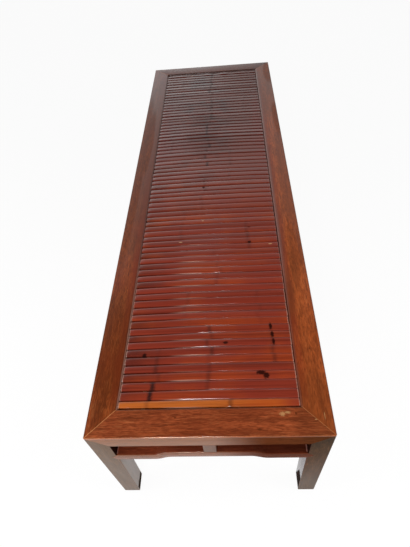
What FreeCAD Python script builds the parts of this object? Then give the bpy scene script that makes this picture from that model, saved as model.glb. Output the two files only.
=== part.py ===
import FreeCAD, Part
import Sketcher
import math
import os
from collections import namedtuple

# A long low bench with a mitred frame, a mat of split bamboo slats let into its top,
# square legs and humpback stretchers. Millimetres. X runs across the bench, Y along it
# and Z up. The origin is on the floor under the middle of the bench.

SIZES = {
    # whole bench
    "bench_length": 1800,
    "bench_width": 550,
    "bench_height": 425,
    # frame of the top
    "rail_top_width": 67,
    "rail_height": 50,
    "ledge_width": 16,
    "top_round": 3,
    "lip_round": 6,
    "corner_round": 4,
    "rail_tenon_width": 16,
    "rail_tenon_height": 20,
    "rail_tenon_margin": 4,
    "rail_tenon_wall": 6,
    # legs
    "leg_width": 50,
    "foot_width": 46,
    "leg_tenon_width": 16,
    "leg_tenon_thickness": 12,
    "leg_tenon_inset": 8,
    "leg_tenon_margin": 8,
    "leg_tenon_cover": 12,
    # humpback stretchers
    "stretcher_height": 30,
    "stretcher_depth": 34,
    "stretcher_drop": 61,
    "hump_start": 90,
    "hump_run": 40,
    "hump_rise": 15,
    "shoulder_depth": 10,
    "stretcher_tenon_height": 18,
    "stretcher_tenon_thickness": 10,
    "stretcher_tenon_inset": 13,
    "stretcher_tenon_web": 5,
    # struts between rail and stretcher
    "strut_width": 30,
    "strut_depth": 28,
    "strut_tenon_width": 14,
    "strut_tenon_thickness": 10,
    "strut_tenon_length": 12,
    # braces under the mat
    "brace_width": 44,
    "brace_height": 30,
    "brace_tenon_width": 28,
    "brace_tenon_height": 14,
    "brace_tenon_length": 20,
    # mat of bamboo slats and the strips that thread it
    "slat_width": 22.6,
    "slat_gap": 0.5,
    "slat_thickness": 9,
    "slat_edge": 6.5,
    "slat_recess": 3,
    "mat_gap_left": 4,
    "mat_gap_right": 3,
    "thread_width": 8,
    "thread_thickness": 3,
    "thread_lift": 1.5,
    "thread_spacing": 150,
    # fits
    "fit_clearance": 0.2,
    "tenon_end_gap": 1,
}

SIDE_STRUTS = 3
BRACES = 3
THREADS = 3
SLAT_GROUPS = 4

LEAST_CHANGE = 1.0  # cubic millimetres that every step of a body adds or takes away
MITRE_CROSSING = 1 - math.sqrt(0.5)  # where a round corner meets its mitre, as a share of the radius


class Size:
    """A length as a number, with the formula in the sheet's cells that gives it."""

    def __init__(self, number, formula):
        self.number = number
        self.formula = formula

    @staticmethod
    def of(value):
        return value if isinstance(value, Size) else Size(float(value), repr(float(value)))

    def combine(self, other, sign, number):
        return Size(number, "(%s %s %s)" % (self.formula, sign, Size.of(other).formula))

    def __add__(self, other):
        return self.combine(other, "+", self.number + Size.of(other).number)

    def __sub__(self, other):
        return self.combine(other, "-", self.number - Size.of(other).number)

    def __mul__(self, other):
        return self.combine(other, "*", self.number * Size.of(other).number)

    def __truediv__(self, other):
        return self.combine(other, "/", self.number / Size.of(other).number)

    def __neg__(self):
        return Size.of(0) - self


# An outline's corner. The edge that leaves it is straight, or an arc of the radius
# bend that turns left (turn 1) or right (turn -1).
Corner = namedtuple("Corner", "across up bend turn", defaults=(None, 0))


class Sizes:
    """The driving dimensions, as sizes that can be read by name."""


doc = FreeCAD.newDocument("bench")
sheet = doc.addObject("Spreadsheet::Sheet", "Sizes")
for row, (name, number) in enumerate(SIZES.items(), start=1):
    sheet.set("A%d" % row, name)
    sheet.set("B%d" % row, str(number))
    sheet.setAlias("B%d" % row, name)
    setattr(Sizes, name, Size(float(number), "Sizes." + name))
doc.recompute()

rail_width = Sizes.rail_top_width + Sizes.ledge_width
ledge_drop = Sizes.slat_recess + Sizes.slat_thickness
rail_bottom = Sizes.bench_height - Sizes.rail_height
ledge_level = Sizes.bench_height - ledge_drop
stretcher_bottom = rail_bottom - Sizes.stretcher_drop - Sizes.stretcher_height
hump_top = stretcher_bottom + Sizes.hump_rise + Sizes.stretcher_height
leg_tenon_near = Sizes.leg_width - Sizes.leg_tenon_margin - Sizes.leg_tenon_width
leg_tenon_far = Sizes.leg_width - Sizes.leg_tenon_margin
leg_tenon_back = Sizes.leg_tenon_inset + Sizes.leg_tenon_thickness
rail_tenon_tip = leg_tenon_back + Sizes.rail_tenon_wall
rail_tenon_inner = Sizes.rail_top_width - Sizes.rail_tenon_margin
rail_tenon_outer = rail_tenon_inner - Sizes.rail_tenon_width
rail_tenon_low = (Sizes.rail_height - Sizes.rail_tenon_height) / 2
stretcher_tenon_back = Sizes.stretcher_tenon_inset + Sizes.stretcher_tenon_thickness
stretcher_tenon_tip = stretcher_tenon_back + Sizes.stretcher_tenon_web
stretcher_tenon_low = (Sizes.stretcher_height - Sizes.stretcher_tenon_height) / 2
strut_tenon_front = (Sizes.strut_depth - Sizes.strut_tenon_thickness) / 2
corner_crossing = Sizes.corner_round * MITRE_CROSSING
opening_length = Sizes.bench_length - Sizes.rail_top_width * 2
opening_width = Sizes.bench_width - Sizes.rail_top_width * 2
slat_length = opening_width - Sizes.mat_gap_left - Sizes.mat_gap_right
slat_pitch = Sizes.slat_width + Sizes.slat_gap
slat_count = int(opening_length.number // slat_pitch.number)
mat_length = slat_pitch * slat_count - Sizes.slat_gap
mat_left = Sizes.rail_top_width + Sizes.mat_gap_left - Sizes.bench_width / 2

pieces = []


def bind(thing, path, size):
    thing.setExpression(path, Size.of(size).formula)


def new_body(label):
    body = doc.addObject("PartDesign::Body", label)
    body.Label = label
    pieces.append(body)
    return body


def place(piece, across, along, up, turn=0):
    piece.Placement.Rotation = FreeCAD.Rotation(FreeCAD.Vector(0, 0, 1), turn)
    bind(piece, "Placement.Base.x", across)
    bind(piece, "Placement.Base.y", along)
    bind(piece, "Placement.Base.z", up)


def mirror(source, label, normal):
    copy = doc.addObject("Part::Mirroring", label)
    copy.Label = label
    copy.Source = source
    copy.Normal = normal
    pieces.append(copy)
    return copy


def edge_between(corner, following):
    begin = FreeCAD.Vector(Size.of(corner.across).number, Size.of(corner.up).number, 0)
    finish = FreeCAD.Vector(Size.of(following.across).number, Size.of(following.up).number, 0)
    if corner.bend is None:
        return Part.LineSegment(begin, finish)
    chord = finish - begin
    radius = corner.bend.number
    sagitta = radius - math.sqrt(radius ** 2 - chord.Length ** 2 / 4)
    right = FreeCAD.Vector(chord.y, -chord.x, 0).normalize()
    return Part.Arc(begin, (begin + finish) / 2 + right * sagitta * corner.turn, finish)


def add_outline(sketch, corners):
    """A closed outline whose corners and arcs are held by formulas."""
    ends = []
    for index, corner in enumerate(corners):
        following = corners[(index + 1) % len(corners)]
        edge = sketch.addGeometry(edge_between(corner, following), False)
        ends.append((edge, 2, 1) if corner.turn < 0 else (edge, 1, 2))
    for index, (corner, (edge, begin, finish)) in enumerate(zip(corners, ends)):
        next_edge, next_begin, _ = ends[(index + 1) % len(ends)]
        sketch.addConstraint(Sketcher.Constraint("Coincident", edge, finish, next_edge, next_begin))
        for kind, size in (("DistanceX", corner.across), ("DistanceY", corner.up)):
            number = Size.of(size).number
            held = sketch.addConstraint(Sketcher.Constraint(kind, -1, 1, edge, begin, number))
            bind(sketch, "Constraints[%d]" % held, size)
        if corner.bend is not None:
            held = sketch.addConstraint(Sketcher.Constraint("Radius", edge, corner.bend.number))
            bind(sketch, "Constraints[%d]" % held, corner.bend)


def draw(body, name, role, *outlines):
    """A sketch on one of the body's own planes."""
    sketch = body.newObject("Sketcher::SketchObject", name)
    plane = next(part for part in body.Origin.OriginFeatures if part.Role == role)
    sketch.AttachmentSupport = [(plane, "")]
    sketch.MapMode = "FlatFace"
    for corners in outlines:
        add_outline(sketch, corners)
    return sketch


def pad(body, name, sketch, length, reverse=False):
    feature = body.newObject("PartDesign::Pad", name)
    feature.Profile = sketch
    feature.Reversed = reverse
    bind(feature, "Length", length)
    return feature


def pocket(body, name, sketch, depth, reverse=False):
    feature = body.newObject("PartDesign::Pocket", name)
    feature.Profile = sketch
    feature.Reversed = reverse
    bind(feature, "Length", depth)


def cut_through(body, name, sketch):
    feature = body.newObject("PartDesign::Pocket", name)
    feature.Profile = sketch
    feature.Type = "ThroughAll"
    feature.SideType = "Symmetric"


def block(body, kind, name, across, inward, up):
    """A box added to or taken from a body, between two sizes on each axis."""
    feature = body.newObject("PartDesign::%sBox" % kind, name)
    sides = ("Length", "Width", "Height")
    for axis, side, (low, high) in zip("xyz", sides, (across, inward, up)):
        bind(feature, "Placement.Base." + axis, low)
        bind(feature, side, Size.of(high) - low)


def at_both_ends(length, low, high):
    """A stretch near the start of a piece, and the same stretch at its other end."""
    return ((low, high), (length - high, length - low))


def centred(middle, width):
    return (middle - width / 2, middle + width / 2)


def eased(low, high):
    """A mortise's stretch round a tenon's, wider by the fit on both sides."""
    return (low - Sizes.fit_clearance, high + Sizes.fit_clearance)


def rectangle(across, up):
    (left, right), (low, high) = across, up
    return [Corner(left, low), Corner(right, low), Corner(right, high), Corner(left, high)]


def frame_rail(label, length, strut_places, brace_places, tenoned):
    """A rail of the top, along its own X, with its outer face on Y = 0.

    Its ends are mitred twice: in plan against the next rail, and on the face against
    the leg, so that three members meet in one point at each corner of the bench. The
    upper edges and the corners of the bench are rounded, most of all beside the mat.
    """
    rail = new_body(label)
    section = draw(rail, label + "_section", "YZ_Plane", [
        Corner(0, 0),
        Corner(rail_width, 0),
        Corner(rail_width, Sizes.rail_height - ledge_drop),
        Corner(Sizes.rail_top_width, Sizes.rail_height - ledge_drop),
        Corner(Sizes.rail_top_width, Sizes.rail_height - Sizes.lip_round, Sizes.lip_round, 1),
        Corner(Sizes.rail_top_width - Sizes.lip_round, Sizes.rail_height),
        Corner(Sizes.top_round, Sizes.rail_height, Sizes.top_round, 1),
        Corner(0, Sizes.rail_height - Sizes.top_round),
    ])
    pad(rail, label + "_bar", section, length)
    plan = draw(
        rail, label + "_plan", "XY_Plane",
        [Corner(0, 0),
         Corner(Sizes.corner_round, 0, Sizes.corner_round, -1),
         Corner(corner_crossing, corner_crossing),
         Corner(rail_width, rail_width),
         Corner(0, rail_width)],
        [Corner(length, 0),
         Corner(length, rail_width),
         Corner(length - rail_width, rail_width),
         Corner(length - corner_crossing, corner_crossing, Sizes.corner_round, -1),
         Corner(length - Sizes.corner_round, 0)])
    cut_through(rail, label + "_plan_mitres", plan)
    face = draw(
        rail, label + "_face", "XZ_Plane",
        [Corner(0, 0), Corner(Sizes.leg_width, 0), Corner(0, Sizes.rail_height)],
        [Corner(length, 0), Corner(length, Sizes.rail_height), Corner(length - Sizes.leg_width, 0)])
    cut_through(rail, label + "_face_mitres", face)

    tenon_up = (rail_tenon_low, rail_tenon_low + Sizes.rail_tenon_height)
    if tenoned:
        for stretch in at_both_ends(length, rail_tenon_tip, Sizes.rail_top_width):
            block(rail, "Additive", label + "_tenon", stretch,
                  (rail_tenon_outer, rail_tenon_inner), tenon_up)
    else:
        for stretch in at_both_ends(length, *eased(rail_tenon_outer, rail_tenon_inner)):
            block(rail, "Subtractive", label + "_mortise", stretch,
                  (rail_tenon_tip - Sizes.tenon_end_gap, rail_width), eased(*tenon_up))

    leg_mortise_top = Sizes.rail_height - Sizes.leg_tenon_cover + Sizes.tenon_end_gap
    for stretch in at_both_ends(length, *eased(leg_tenon_near, leg_tenon_far)):
        block(rail, "Subtractive", label + "_leg_mortise", stretch,
              eased(Sizes.leg_tenon_inset, leg_tenon_back), (0, leg_mortise_top))
    for middle in strut_places:
        block(rail, "Subtractive", label + "_strut_mortise",
              eased(*centred(middle, Sizes.strut_tenon_width)),
              eased(strut_tenon_front, strut_tenon_front + Sizes.strut_tenon_thickness),
              (0, Sizes.strut_tenon_length + Sizes.tenon_end_gap))
    brace_low = Sizes.rail_height - ledge_drop - (Sizes.brace_height + Sizes.brace_tenon_height) / 2
    for middle in brace_places:
        block(rail, "Subtractive", label + "_brace_mortise",
              eased(*centred(middle, Sizes.brace_tenon_width)),
              (rail_width - Sizes.brace_tenon_length - Sizes.tenon_end_gap, rail_width),
              eased(brace_low, brace_low + Sizes.brace_tenon_height))
    return rail


def leg(label):
    """A leg with its outer corner on the Z axis, tapered on its two inner faces.

    The corner is rounded, and the tip of the mitred head follows the rails' rounded edges.
    """
    post = new_body(label)
    plan = draw(post, label + "_plan", "XY_Plane", [
        Corner(Sizes.corner_round, 0),
        Corner(Sizes.leg_width, 0),
        Corner(Sizes.leg_width, Sizes.leg_width),
        Corner(0, Sizes.leg_width),
        Corner(0, Sizes.corner_round, Sizes.corner_round, 1),
    ])
    pad(post, label + "_post", plan, Sizes.bench_height)
    for role in ("XZ_Plane", "YZ_Plane"):
        edge = [
            Corner(0, Sizes.bench_height),
            Corner(0, Sizes.bench_height - Sizes.top_round, Sizes.top_round, -1),
            Corner(Sizes.top_round, Sizes.bench_height),
        ]
        name = "%s_%s" % (label, role[:2].lower())
        cut_through(post, name + "_round", draw(post, name + "_edge", role, edge))
    for role in ("XZ_Plane", "YZ_Plane"):
        taper = [
            Corner(Sizes.foot_width, 0),
            Corner(Sizes.leg_width, 0),
            Corner(Sizes.leg_width, stretcher_bottom),
        ]
        head = [
            Corner(Sizes.leg_width, rail_bottom),
            Corner(Sizes.leg_width, Sizes.bench_height),
            Corner(0, Sizes.bench_height),
        ]
        name = "%s_%s" % (label, role[:2].lower())
        cut_through(post, name + "_cuts", draw(post, name, role, taper, head))

    tenon_up = (rail_bottom, Sizes.bench_height - Sizes.leg_tenon_cover)
    long_way = (leg_tenon_near, leg_tenon_far)
    thin_way = (Sizes.leg_tenon_inset, leg_tenon_back)
    block(post, "Additive", label + "_tenon", long_way, thin_way, tenon_up)
    block(post, "Additive", label + "_tenon", thin_way, long_way, tenon_up)

    mortise_long = (stretcher_tenon_tip - Sizes.tenon_end_gap, Sizes.leg_width)
    mortise_thin = eased(Sizes.stretcher_tenon_inset, stretcher_tenon_back)
    tenon_low = stretcher_bottom + stretcher_tenon_low
    mortise_up = eased(tenon_low, tenon_low + Sizes.stretcher_tenon_height)
    block(post, "Subtractive", label + "_mortise", mortise_long, mortise_thin, mortise_up)
    block(post, "Subtractive", label + "_mortise", mortise_thin, mortise_long, mortise_up)

    notch = [
        Corner(Sizes.leg_width, stretcher_bottom),
        Corner(Sizes.leg_width, stretcher_bottom + Sizes.stretcher_height),
        Corner(Sizes.leg_width - Sizes.stretcher_height / 2,
               stretcher_bottom + Sizes.stretcher_height / 2),
    ]
    notch_depth = Sizes.shoulder_depth + Sizes.fit_clearance
    front = draw(post, label + "_front_notch", "XZ_Plane", notch)
    pocket(post, label + "_front_seat", front, notch_depth)
    side = draw(post, label + "_side_notch", "YZ_Plane", notch)
    pocket(post, label + "_side_seat", side, notch_depth, reverse=True)
    return post


def humpback_stretcher(label, length, strut_places):
    """A stretcher along its own X, with its outer face on Y = 0 and its ends' edge on Z = 0.

    Two equal arcs make each swan's bend up to the raised middle. On the face, each end
    runs out in a point that is let into the leg, with a tenon behind it.
    """
    bar = new_body(label)
    bend = (Sizes.hump_run * Sizes.hump_run / Sizes.hump_rise + Sizes.hump_rise) / 4
    near_foot = Sizes.leg_width + Sizes.hump_start
    near_middle = near_foot + Sizes.hump_run / 2
    near_crest = near_foot + Sizes.hump_run
    half_rise = Sizes.hump_rise / 2
    tall = Sizes.stretcher_height
    face = draw(bar, label + "_face", "XZ_Plane", [
        Corner(Sizes.leg_width, 0),
        Corner(near_foot, 0, bend, 1),
        Corner(near_middle, half_rise, bend, -1),
        Corner(near_crest, Sizes.hump_rise),
        Corner(length - near_crest, Sizes.hump_rise, bend, -1),
        Corner(length - near_middle, half_rise, bend, 1),
        Corner(length - near_foot, 0),
        Corner(length - Sizes.leg_width, 0),
        Corner(length - Sizes.leg_width, tall),
        Corner(length - near_foot, tall, bend, -1),
        Corner(length - near_middle, half_rise + tall, bend, 1),
        Corner(length - near_crest, Sizes.hump_rise + tall),
        Corner(near_crest, Sizes.hump_rise + tall, bend, 1),
        Corner(near_middle, half_rise + tall, bend, -1),
        Corner(near_foot, tall),
        Corner(Sizes.leg_width, tall),
    ])
    pad(bar, label + "_bar", face, Sizes.stretcher_depth, reverse=True)
    point = Sizes.leg_width - tall / 2
    shoulders = draw(
        bar, label + "_points", "XZ_Plane",
        [Corner(Sizes.leg_width, 0), Corner(Sizes.leg_width, tall), Corner(point, tall / 2)],
        [Corner(length - Sizes.leg_width, 0), Corner(length - point, tall / 2),
         Corner(length - Sizes.leg_width, tall)])
    pad(bar, label + "_shoulders", shoulders, Sizes.shoulder_depth, reverse=True)
    tenon_up = (stretcher_tenon_low, stretcher_tenon_low + Sizes.stretcher_tenon_height)
    for stretch in at_both_ends(length, stretcher_tenon_tip, near_foot):
        block(bar, "Additive", label + "_tenon", stretch,
              (Sizes.stretcher_tenon_inset, stretcher_tenon_back), tenon_up)
    top = Sizes.hump_rise + tall
    for middle in strut_places:
        block(bar, "Subtractive", label + "_strut_mortise",
              eased(*centred(middle, Sizes.strut_tenon_width)),
              eased(strut_tenon_front, strut_tenon_front + Sizes.strut_tenon_thickness),
              (top - Sizes.strut_tenon_length - Sizes.tenon_end_gap, top))
    return bar


def strut(label):
    """A short post from the stretcher's raised middle to the rail, centred on X = 0."""
    post = new_body(label)
    block(post, "Additive", label + "_post", centred(Size.of(0), Sizes.strut_width),
          (0, Sizes.strut_depth), (0, rail_bottom - hump_top))
    block(post, "Additive", label + "_tenons", centred(Size.of(0), Sizes.strut_tenon_width),
          (strut_tenon_front, strut_tenon_front + Sizes.strut_tenon_thickness),
          (-Sizes.strut_tenon_length, rail_bottom - hump_top + Sizes.strut_tenon_length))
    return post


def brace(label):
    """A tie between the side rails, under the slats, tenoned at both ends."""
    bar = new_body(label)
    reach = Sizes.bench_width / 2 - rail_width
    block(bar, "Additive", label + "_bar", (-reach, reach),
          centred(Size.of(0), Sizes.brace_width), (-Sizes.brace_height, 0))
    tenon_reach = reach + Sizes.brace_tenon_length
    block(bar, "Additive", label + "_tenons", (-tenon_reach, tenon_reach),
          centred(Size.of(0), Sizes.brace_tenon_width),
          centred(-Sizes.brace_height / 2, Sizes.brace_tenon_height))
    return bar


def thread_places():
    middle = slat_length / 2
    return [middle + Sizes.thread_spacing * (index - (THREADS - 1) / 2) for index in range(THREADS)]


def slat_group(label, count):
    """Neighbouring slats, each flat below and crowned above, slotted for the threads."""
    mat = new_body(label)
    mat.AllowCompound = True
    crown = Sizes.slat_thickness - Sizes.slat_edge
    bend = (Sizes.slat_width * Sizes.slat_width / crown / 4 + crown) / 2
    section = draw(mat, label + "_section", "YZ_Plane", [
        Corner(0, 0),
        Corner(Sizes.slat_width, 0),
        Corner(Sizes.slat_width, Sizes.slat_edge, bend, 1),
        Corner(0, Sizes.slat_edge),
    ])
    slat = pad(mat, label + "_slat", section, slat_length)
    row = mat.newObject("PartDesign::LinearPattern", label + "_row")
    row.Originals = [slat]
    row.Direction = (next(part for part in mat.Origin.OriginFeatures if part.Role == "Y_Axis"), [""])
    row.Occurrences = count
    bind(row, "Length", slat_pitch * (count - 1))
    mat.Tip = row
    slot_up = eased(Sizes.thread_lift, Sizes.thread_lift + Sizes.thread_thickness)
    slots = [
        rectangle(eased(*centred(middle, Sizes.thread_width)), slot_up)
        for middle in thread_places()
    ]
    cut_through(mat, label + "_slots", draw(mat, label + "_slot_plan", "XZ_Plane", *slots))
    return mat


def thread(label, middle):
    """A long bamboo strip that strings all the slats together."""
    strip = doc.addObject("Part::Box", label)
    strip.Label = label
    bind(strip, "Length", Sizes.thread_width)
    bind(strip, "Width", mat_length)
    bind(strip, "Height", Sizes.thread_thickness)
    place(strip, mat_left + middle - Sizes.thread_width / 2, -mat_length / 2,
          ledge_level + Sizes.thread_lift)
    pieces.append(strip)


ACROSS = FreeCAD.Vector(1, 0, 0)
ALONG = FreeCAD.Vector(0, 1, 0)
QUARTER_TURN = 90

right_edge = Sizes.bench_width / 2
near_edge = -Sizes.bench_length / 2
side_strut_places = [
    Sizes.bench_length * (index + 1) / (SIDE_STRUTS + 1) for index in range(SIDE_STRUTS)
]
brace_places = [
    Sizes.rail_top_width + opening_length * (index + 1) / (BRACES + 1) for index in range(BRACES)
]
end_strut_place = Sizes.bench_width / 2

# the frame of the top
end_rail = frame_rail("end_rail_near", Sizes.bench_width, [end_strut_place], [], tenoned=False)
place(end_rail, -right_edge, near_edge, rail_bottom)
mirror(end_rail, "end_rail_far", ALONG)
side_rail = frame_rail("side_rail_right", Sizes.bench_length, side_strut_places, brace_places,
                       tenoned=True)
place(side_rail, right_edge, near_edge, rail_bottom, QUARTER_TURN)
mirror(side_rail, "side_rail_left", ACROSS)

# the four legs
near_left = leg("leg_near_left")
place(near_left, -right_edge, near_edge, 0)
mirror(near_left, "leg_near_right", ACROSS)
far_left = mirror(near_left, "leg_far_left", ALONG)
mirror(far_left, "leg_far_right", ACROSS)

# the stretchers under the rails
end_stretcher = humpback_stretcher("end_stretcher_near", Sizes.bench_width, [end_strut_place])
place(end_stretcher, -right_edge, near_edge, stretcher_bottom)
mirror(end_stretcher, "end_stretcher_far", ALONG)
side_stretcher = humpback_stretcher("side_stretcher_right", Sizes.bench_length, side_strut_places)
place(side_stretcher, right_edge, near_edge, stretcher_bottom, QUARTER_TURN)
mirror(side_stretcher, "side_stretcher_left", ACROSS)

# the struts that hold rail and stretcher apart
end_strut = strut("end_strut_near")
place(end_strut, 0, near_edge, hump_top)
mirror(end_strut, "end_strut_far", ALONG)
for number, middle in enumerate(side_strut_places, start=1):
    side_strut = strut("side_strut_right_%d" % number)
    place(side_strut, right_edge, near_edge + middle, hump_top, QUARTER_TURN)
    mirror(side_strut, "side_strut_left_%d" % number, ACROSS)

# the braces under the mat
for number, middle in enumerate(brace_places, start=1):
    place(brace("brace_%d" % number), 0, near_edge + middle, ledge_level)

# the mat
for group in range(SLAT_GROUPS):
    first = slat_count * group // SLAT_GROUPS
    last = slat_count * (group + 1) // SLAT_GROUPS
    slats = slat_group("bamboo_slats_%d" % (group + 1), last - first)
    place(slats, mat_left, slat_pitch * first - mat_length / 2, ledge_level)
for number, middle in enumerate(thread_places(), start=1):
    thread("mat_thread_%d" % number, middle)

doc.recompute()

for thing in doc.Objects:
    if "Invalid" in thing.State or "Error" in thing.State:
        raise RuntimeError("%s did not recompute" % thing.Label)
    before = getattr(thing, "BaseFeature", None)
    if before is not None and thing.isDerivedFrom("PartDesign::Feature"):
        if abs(thing.Shape.Volume - before.Shape.Volume) < LEAST_CHANGE:
            raise RuntimeError("%s changes nothing" % thing.Label)
for piece in pieces:
    if piece.Shape.isNull() or not piece.Shape.isValid():
        raise RuntimeError("%s has no valid shape" % piece.Label)

os.makedirs("parts", exist_ok=True)
for piece in pieces:
    piece.Shape.exportStep("parts/%s.step" % piece.Label)
print("%d nodes, %d slats" % (len(pieces), slat_count))
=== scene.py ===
import math
import random
from types import SimpleNamespace

import bmesh
import bpy
from mathutils import Matrix, Vector, noise


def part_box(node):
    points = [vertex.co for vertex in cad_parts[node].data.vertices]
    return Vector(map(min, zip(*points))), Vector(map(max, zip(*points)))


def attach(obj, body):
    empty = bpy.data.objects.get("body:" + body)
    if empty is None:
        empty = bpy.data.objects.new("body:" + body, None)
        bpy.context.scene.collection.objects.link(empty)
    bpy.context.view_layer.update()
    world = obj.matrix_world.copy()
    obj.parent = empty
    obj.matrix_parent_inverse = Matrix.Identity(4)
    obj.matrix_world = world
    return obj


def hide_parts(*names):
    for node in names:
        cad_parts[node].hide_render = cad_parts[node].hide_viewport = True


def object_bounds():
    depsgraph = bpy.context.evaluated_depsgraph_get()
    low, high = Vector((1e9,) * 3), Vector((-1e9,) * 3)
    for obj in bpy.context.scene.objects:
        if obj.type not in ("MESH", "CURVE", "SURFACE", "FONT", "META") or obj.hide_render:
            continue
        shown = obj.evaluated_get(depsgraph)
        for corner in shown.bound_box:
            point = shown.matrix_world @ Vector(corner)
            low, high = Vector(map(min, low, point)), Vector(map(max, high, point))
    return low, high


bl_info = {
    "name": "Slatted Bench",
    "version": (1, 0, 0),
    "blender": (4, 5, 0),
    "location": "View3D > Sidebar > Bench",
    "description": "A long low lacquered bench with a mitred frame and a seat of bamboo slats",
    "category": "Add Mesh",
}

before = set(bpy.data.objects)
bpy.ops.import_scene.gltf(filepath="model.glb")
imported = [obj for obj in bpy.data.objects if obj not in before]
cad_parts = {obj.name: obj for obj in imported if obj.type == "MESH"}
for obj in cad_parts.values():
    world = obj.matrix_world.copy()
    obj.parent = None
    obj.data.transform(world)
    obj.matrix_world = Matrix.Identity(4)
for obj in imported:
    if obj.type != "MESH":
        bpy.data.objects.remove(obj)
CAD_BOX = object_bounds()

# Metres. X runs across the bench, Y along it from the near end, Z up from the floor.
LOW, HIGH = CAD_BOX
RAIL_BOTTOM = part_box("end_rail_near")[0].z
RAIL_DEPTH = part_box("end_rail_near")[1].y - LOW.y
STRETCHER_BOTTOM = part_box("end_stretcher_near")[0].z
STRETCHER_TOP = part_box("end_stretcher_near")[1].z
STRETCHER_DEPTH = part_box("end_stretcher_near")[1].y - LOW.y
SLATS_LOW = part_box("bamboo_slats_1")[0]
SLATS_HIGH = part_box("bamboo_slats_4")[1]
SLAT_GROUPS = 4
BRACES = 3
THREADS = 3
SIDE_STRUTS = 3
ENDS = ("near", "far")
SIDES = ("left", "right")
# the bench's edges and corners, in turn from the near left corner
EDGE_NAMES = (("end", "near"), ("side", "right"), ("end", "far"), ("side", "left"))
CORNER_NAMES = (("near", "left"), ("near", "right"), ("far", "right"), ("far", "left"))

SAME_PLACE = 1e-6
STRAIGHT = 0.999
FACING = 0.9
FLAT_ANGLE = 0.01
SHARP_ANGLE = math.radians(40)
# tints of the reflections, or of a rail's heartwood
WARM = (1.0, 0.88, 0.54)
PLAIN = (1.0, 1.0, 1.0)
LENGTH_PROPERTY = {"unit": "LENGTH", "subtype": "DISTANCE", "precision": 4}


def length(name, description, default):
    return bpy.props.FloatProperty(name=name, description=description, default=default, **LENGTH_PROPERTY)


def colour(name, description, default):
    return bpy.props.FloatVectorProperty(
        name=name, description=description, default=default, size=3, subtype="COLOR", min=0, max=1)


class BenchSizes(bpy.types.PropertyGroup):
    """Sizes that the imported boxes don't give, and the softness of the edges."""

    rail_top_width: length("Rail width", "Width of a rail on the top of the frame", 0.067)
    ledge_level: length("Ledge level", "Height of the ledge that carries the slats", SLATS_LOW.z)
    leg_width: length("Leg width", "Width of a leg at its top", 0.050)
    foot_width: length("Foot width", "Width of a leg at the floor", 0.046)
    top_arris: length("Top arris", "Rounding of the frame's outer top edge", 0.0030)
    lip_round: length("Lip round", "Rounding of the frame's edge beside the slats", 0.0060)
    corner_round: length("Corner round", "Rounding of the bench's four corners", 0.0040)
    fine_arris: length("Fine arris", "Rounding of the other long edges", 0.0010)
    sole_arris: length("Sole arris", "Worn rounding under a foot", 0.0022)
    joint_gap: length("Joint gap", "Opening of a mitre that has shrunk", 0.00025)
    stretcher_height: length("Stretcher height", "Height of a stretcher's bar", 0.030)
    hump_start: length("Hump start", "Straight part between a leg and the stretcher's bend", 0.090)
    hump_run: length("Hump run", "Length of the stretcher's bend", 0.040)
    shoulder_depth: length("Shoulder depth", "Thickness of the pointed shoulder on a leg's face", 0.010)
    shoulder_proud: length("Shoulder proud", "How far a shoulder stands out of the leg's face", 0.0003)
    slat_crown: length("Slat crown", "Rise of a slat's rounded back over its edges", 0.0005)
    slat_shoulder: length("Slat shoulder", "Rounding of a slat's two long edges", 0.0013)
    slat_gap: length("Slat gap", "Usual gap between neighbouring slats", 0.0004)


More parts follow.
